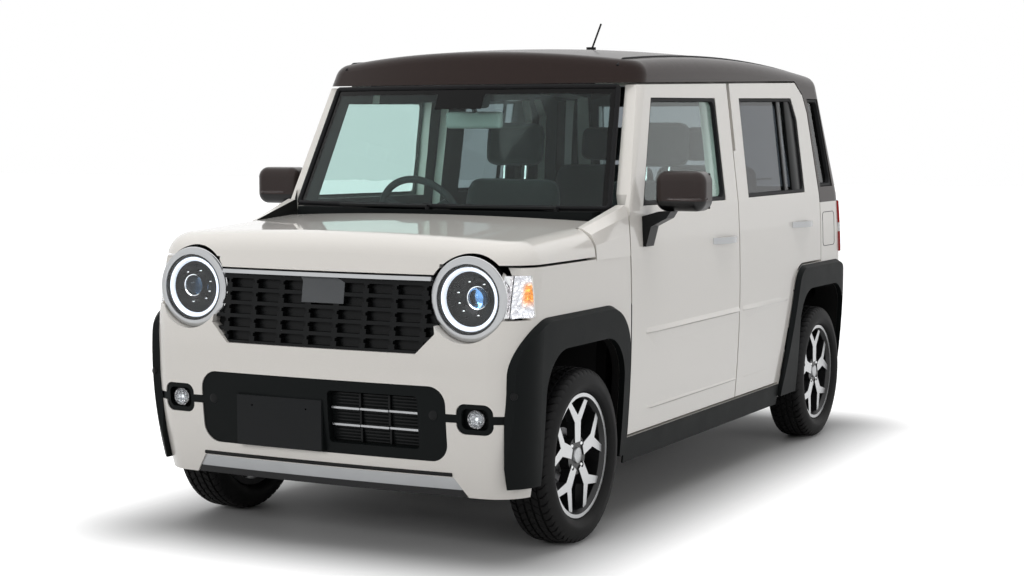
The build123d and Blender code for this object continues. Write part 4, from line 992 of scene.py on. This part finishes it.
tube("rearWiperArm", arm, 0.0055, "satinBlack", "tailgate")
tube("rearWiperBlade", blade, 0.0045, "rubberSeal", "tailgate")
wiperHub = [(0.004, 0.018), (0.013, 0.016), (0.017, 0.010), (0.018, -0.006)]
turned("rearWiperHub", wiperHub, arm[0] + armOff, (-1, 0, 0.2), "satinBlack", "tailgate", 32)
for side, label in sides:
    spot = rearHit("rear_bumper", side * rearSet["reflectorY"], rearSet["reflectorZ"])
    roundedBox("rearReflector_" + label, (0.012, 0.105, 0.032), spot, "redLens", "body", 0.004,
               Matrix.Rotation(math.radians(side * -6), 4, "Z"))
valanceSet = dict(half=0.655, steps=41, skinZ=0.520, ribZ=(0.340, 0.362, 0.384, 0.406, 0.428), ribStep=0.060)
valanceRows = [  # behind the skin, height
    (0.010, 0.244), (-0.002, 0.258), (-0.003, 0.452), (0.001, 0.462), (0.024, 0.462), (0.030, 0.244),
]
valance, count = [], valanceSet["steps"]
for along, z in valanceRows:  # black lower edge across the bumper
    for step in range(count):
        y = valanceSet["half"] * (2 * step / (count - 1) - 1)
        valance.append((rearHit("rear_bumper", y, valanceSet["skinZ"]).x + along, y, z))
valanceFaces = loopFaces(len(valanceRows), count, closed=False, wrapped=True)
valanceFaces.append(tuple(count * row for row in range(len(valanceRows))))
valanceFaces.append(tuple(count * row + count - 1 for row in reversed(range(len(valanceRows)))))
showMesh("rearValance", valance, valanceFaces, "grainedBlack", "body")
ribs = []
for z in valanceSet["ribZ"]:
    for step in range(-5, 6):
        y = valanceSet["ribStep"] * step
        x = rearHit("rear_bumper", y, valanceSet["skinZ"]).x - 0.003
        ribs.append(((x, y, z), (0.008, 0.064, 0.009)))
boxSet("rearRibs", ribs, 0.002, "satinBlack", "body")
gateCorners = roundedOutline([(-0.499, 1.091), (0.499, 1.091), (0.458, 1.477), (-0.458, 1.477)], 0.02)
gateLine = skinLoop(gateCorners, lambda spot: rearHit("tailgate", spot.x, spot.y))
tube("gateGlassSeal", gateLine, 0.008, "rubberSeal", "tailgate", closed=True)
print("rear end dressed")

# cabin: instrument hood, screen, vents, lever, armrests and speakers
cabinSet = dict(
    hood=(0.612, -0.340, 1.028), screen=(0.512, 0.0, 0.948), knob=(0.462, -0.080, 0.900),
    ventX=0.528, ventZ=0.962, ventY=(-0.555, -0.155, 0.155, 0.555), slatRise=(-0.015, 0.0, 0.015),
    vent=[(0.026, -0.006), (0.028, 0.006), (0.036, 0.008), (0.039, 0.002), (0.039, -0.020)],
    speaker=[(0.010, 0.004), (0.055, 0.009), (0.072, 0.010), (0.078, 0.006), (0.080, -0.006)],
)
roundedBox("instrumentHood", (0.190, 0.330, 0.062), cabinSet["hood"], "cabinPlastic", "body", 0.024)
roundedBox("centreScreen", (0.022, 0.232, 0.134), cabinSet["screen"], "satinBlack", "body", 0.008)
for index, y in enumerate(cabinSet["ventY"]):
    x, z = cabinSet["ventX"], cabinSet["ventZ"]
    turned("airVent_%d" % index, cabinSet["vent"], (x, y, z), (-1, 0, 0.25), "satinSilver", "body", 40,
           ring=True)
    slats = [((x - 0.002, y, z + rise), (0.010, 0.050, 0.003)) for rise in cabinSet["slatRise"]]
    boxSet("ventSlats_%d" % index, slats, 0.001, "satinBlack", "body")
tube("gearLever", [(0.560, -0.080, 0.840), (0.470, -0.080, 0.885)], 0.008, "satinSilver", "body")
roundedBox("gearKnob", (0.045, 0.042, 0.060), cabinSet["knob"], "satinBlack", "body", 0.018)
doorTrim = dict(front=(0.24, 0.50), rear=(-0.66, 0.44))  # middle and length of the armrest
for row, (x, length) in doorTrim.items():
    for side, label in sides:
        panel = row + "_" + label
        door = "door_" + panel
        inner = skinHit(door, (x, 0.0, 0.800), (0, side, 0))
        rest = inner - Vector((0, side * 0.022, 0))
        pull = inner + Vector((0.16, -side * 0.006, 0.115))
        roundedBox("armrest_" + panel, (length, 0.060, 0.062), rest, "cabinPlastic", door, 0.022)
        roundedBox("doorPull_" + panel, (0.110, 0.016, 0.026), pull, "chromePlate", door, 0.006)
        if row == "front":
            cone = skinHit(door, (0.500, 0.0, 0.480), (0, side, 0))
            turned("doorSpeaker_" + label, cabinSet["speaker"], cone, (0, -side, 0), "satinBlack", door, 48)
print("cabin dressed")

# floor, light and camera
stageSet = dict(
    floorTone=(0.50, 0.50, 0.50), floorHalf=40, worldTone=0.28, mirrored=0.55,
    halfX=1.56, halfY=0.60, fadeFrom=0.02, fadeTo=0.72,
)
wide = stageSet["floorHalf"]
floorMesh = bpy.data.meshes.new("floor")
floorCorners = [(-wide, -wide, 0), (wide, -wide, 0), (wide, wide, 0), (-wide, wide, 0)]
floorMesh.from_pydata(floorCorners, [], [(0, 1, 2, 3)])
floor = bpy.data.objects.new("floor", floorMesh)
scene.collection.objects.link(floor)
floorTree, floorShader = startMaterial("paleFloor", Base_Color=stageSet["floorTone"], Roughness=0.6)
path = addNode(floorTree, "ShaderNodeLightPath")
floorSpot = objectCoords(floorTree)[1]
# the floor turns white only away from the car's footprint, so the grey patch around it is a painted shadow
# added to the real one
outside = []
for axisName, half in (("X", stageSet["halfX"]), ("Y", stageSet["halfY"])):
    past = mathNode(floorTree, "SUBTRACT", mathNode(floorTree, "ABSOLUTE", floorSpot[axisName]), half)
    past = mathNode(floorTree, "MAXIMUM", past, 0.0)
    outside.append(mathNode(floorTree, "MULTIPLY", past, past))
away = mathNode(floorTree, "SQRT", mathNode(floorTree, "ADD", outside[0], outside[1]))
paintedShadowFade = stepUp(floorTree, away, stageSet["fadeFrom"], stageSet["fadeTo"])  # plain white away from the car; grey within and near its footprint, a painted shadow
plainRay = mathNode(floorTree, "MAXIMUM", path.outputs["Is Camera Ray"], path.outputs["Is Transmission Ray"])
mirroredRay = mathNode(floorTree, "MULTIPLY", path.outputs["Is Glossy Ray"], stageSet["mirrored"])
plainRay = mathNode(floorTree, "MAXIMUM", plainRay, mirroredRay)
backdropLiftPastShadow = mathNode(floorTree, "MULTIPLY", plainRay, paintedShadowFade)
floorShader.inputs["Emission Color"].default_value = (1, 1, 1, 1)
link(floorTree, backdropLiftPastShadow, floorShader, "Emission Strength")
floorMesh.materials.append(finishes["paleFloor"])

world = bpy.data.worlds.new("studio")
scene.world = world
world.use_nodes = True
sky = world.node_tree
background = sky.nodes["Background"]
coord = addNode(sky, "ShaderNodeTexCoord")
heights = addNode(sky, "ShaderNodeSeparateXYZ")
link(sky, coord.outputs["Generated"], heights, 0)
ramp = addNode(sky, "ShaderNodeValToRGB")
ramp.color_ramp.elements[0].position = 0.0
ramp.color_ramp.elements[0].color = (0.30, 0.31, 0.32, 1)
ramp.color_ramp.elements[1].position = 0.75
ramp.color_ramp.elements[1].color = (0.95, 0.95, 0.95, 1)
link(sky, heights.outputs["Z"], ramp, 0)
worldPath = addNode(sky, "ShaderNodeLightPath")
rays = worldPath.outputs
skyRay = mathNode(sky, "MAXIMUM", rays["Is Camera Ray"], rays["Is Transmission Ray"])
skyRay = mathNode(sky, "MAXIMUM", skyRay, rays["Is Glossy Ray"])
link(sky, mixColor(sky, skyRay, ramp.outputs[0], (1, 1, 1)), background, "Color")
strength = mathNode(sky, "MULTIPLY_ADD", skyRay, 1.0 - stageSet["worldTone"], stageSet["worldTone"])
link(sky, strength, background, "Strength")


def softbox(name, place, target, size, power):
    light = bpy.data.lights.new(name, "AREA")
    light.shape = "RECTANGLE"
    light.size, light.size_y = size
    light.energy = power
    lamp = bpy.data.objects.new(name, light)
    scene.collection.objects.link(lamp)
    lamp.location = place
    lamp.visible_glossy = False  # no hard box edges in the paint
    lamp.rotation_euler = (Vector(target) - Vector(place)).to_track_quat("-Z", "Y").to_euler()


softboxes = [  # name, place, target, size, power
    ("overheadBox", (0.5, 0.3, 5.2), (0, 0, 0), (6.5, 4.5), 170),
    ("frontBox", (7.5, -1.5, 3.4), (0.8, 0, 0.6), (4.0, 2.5), 165),
    ("sideBox", (1.0, 7.0, 2.6), (0, 0, 0.8), (6.0, 2.2), 100),
]
for box in softboxes:
    softbox(*box)
cameraSet = dict(lens=65.95, sensor=36.0, place=(6.7322, 3.3073, 1.3463), yaw=-152.69, pitch=-4.73)
cameraData = bpy.data.cameras.new("photoCamera")
cameraData.lens = cameraSet["lens"]
cameraData.sensor_width = cameraSet["sensor"]
cameraData.sensor_fit = "HORIZONTAL"
camera = bpy.data.objects.new("photoCamera", cameraData)
scene.collection.objects.link(camera)
yaw, pitch = math.radians(cameraSet["yaw"]), math.radians(cameraSet["pitch"])
look = Vector((math.cos(pitch) * math.cos(yaw), math.cos(pitch) * math.sin(yaw), math.sin(pitch)))
camera.location = cameraSet["place"]
camera.rotation_euler = look.to_track_quat("-Z", "Y").to_euler()
scene.camera = camera
print("stage, light and camera set")
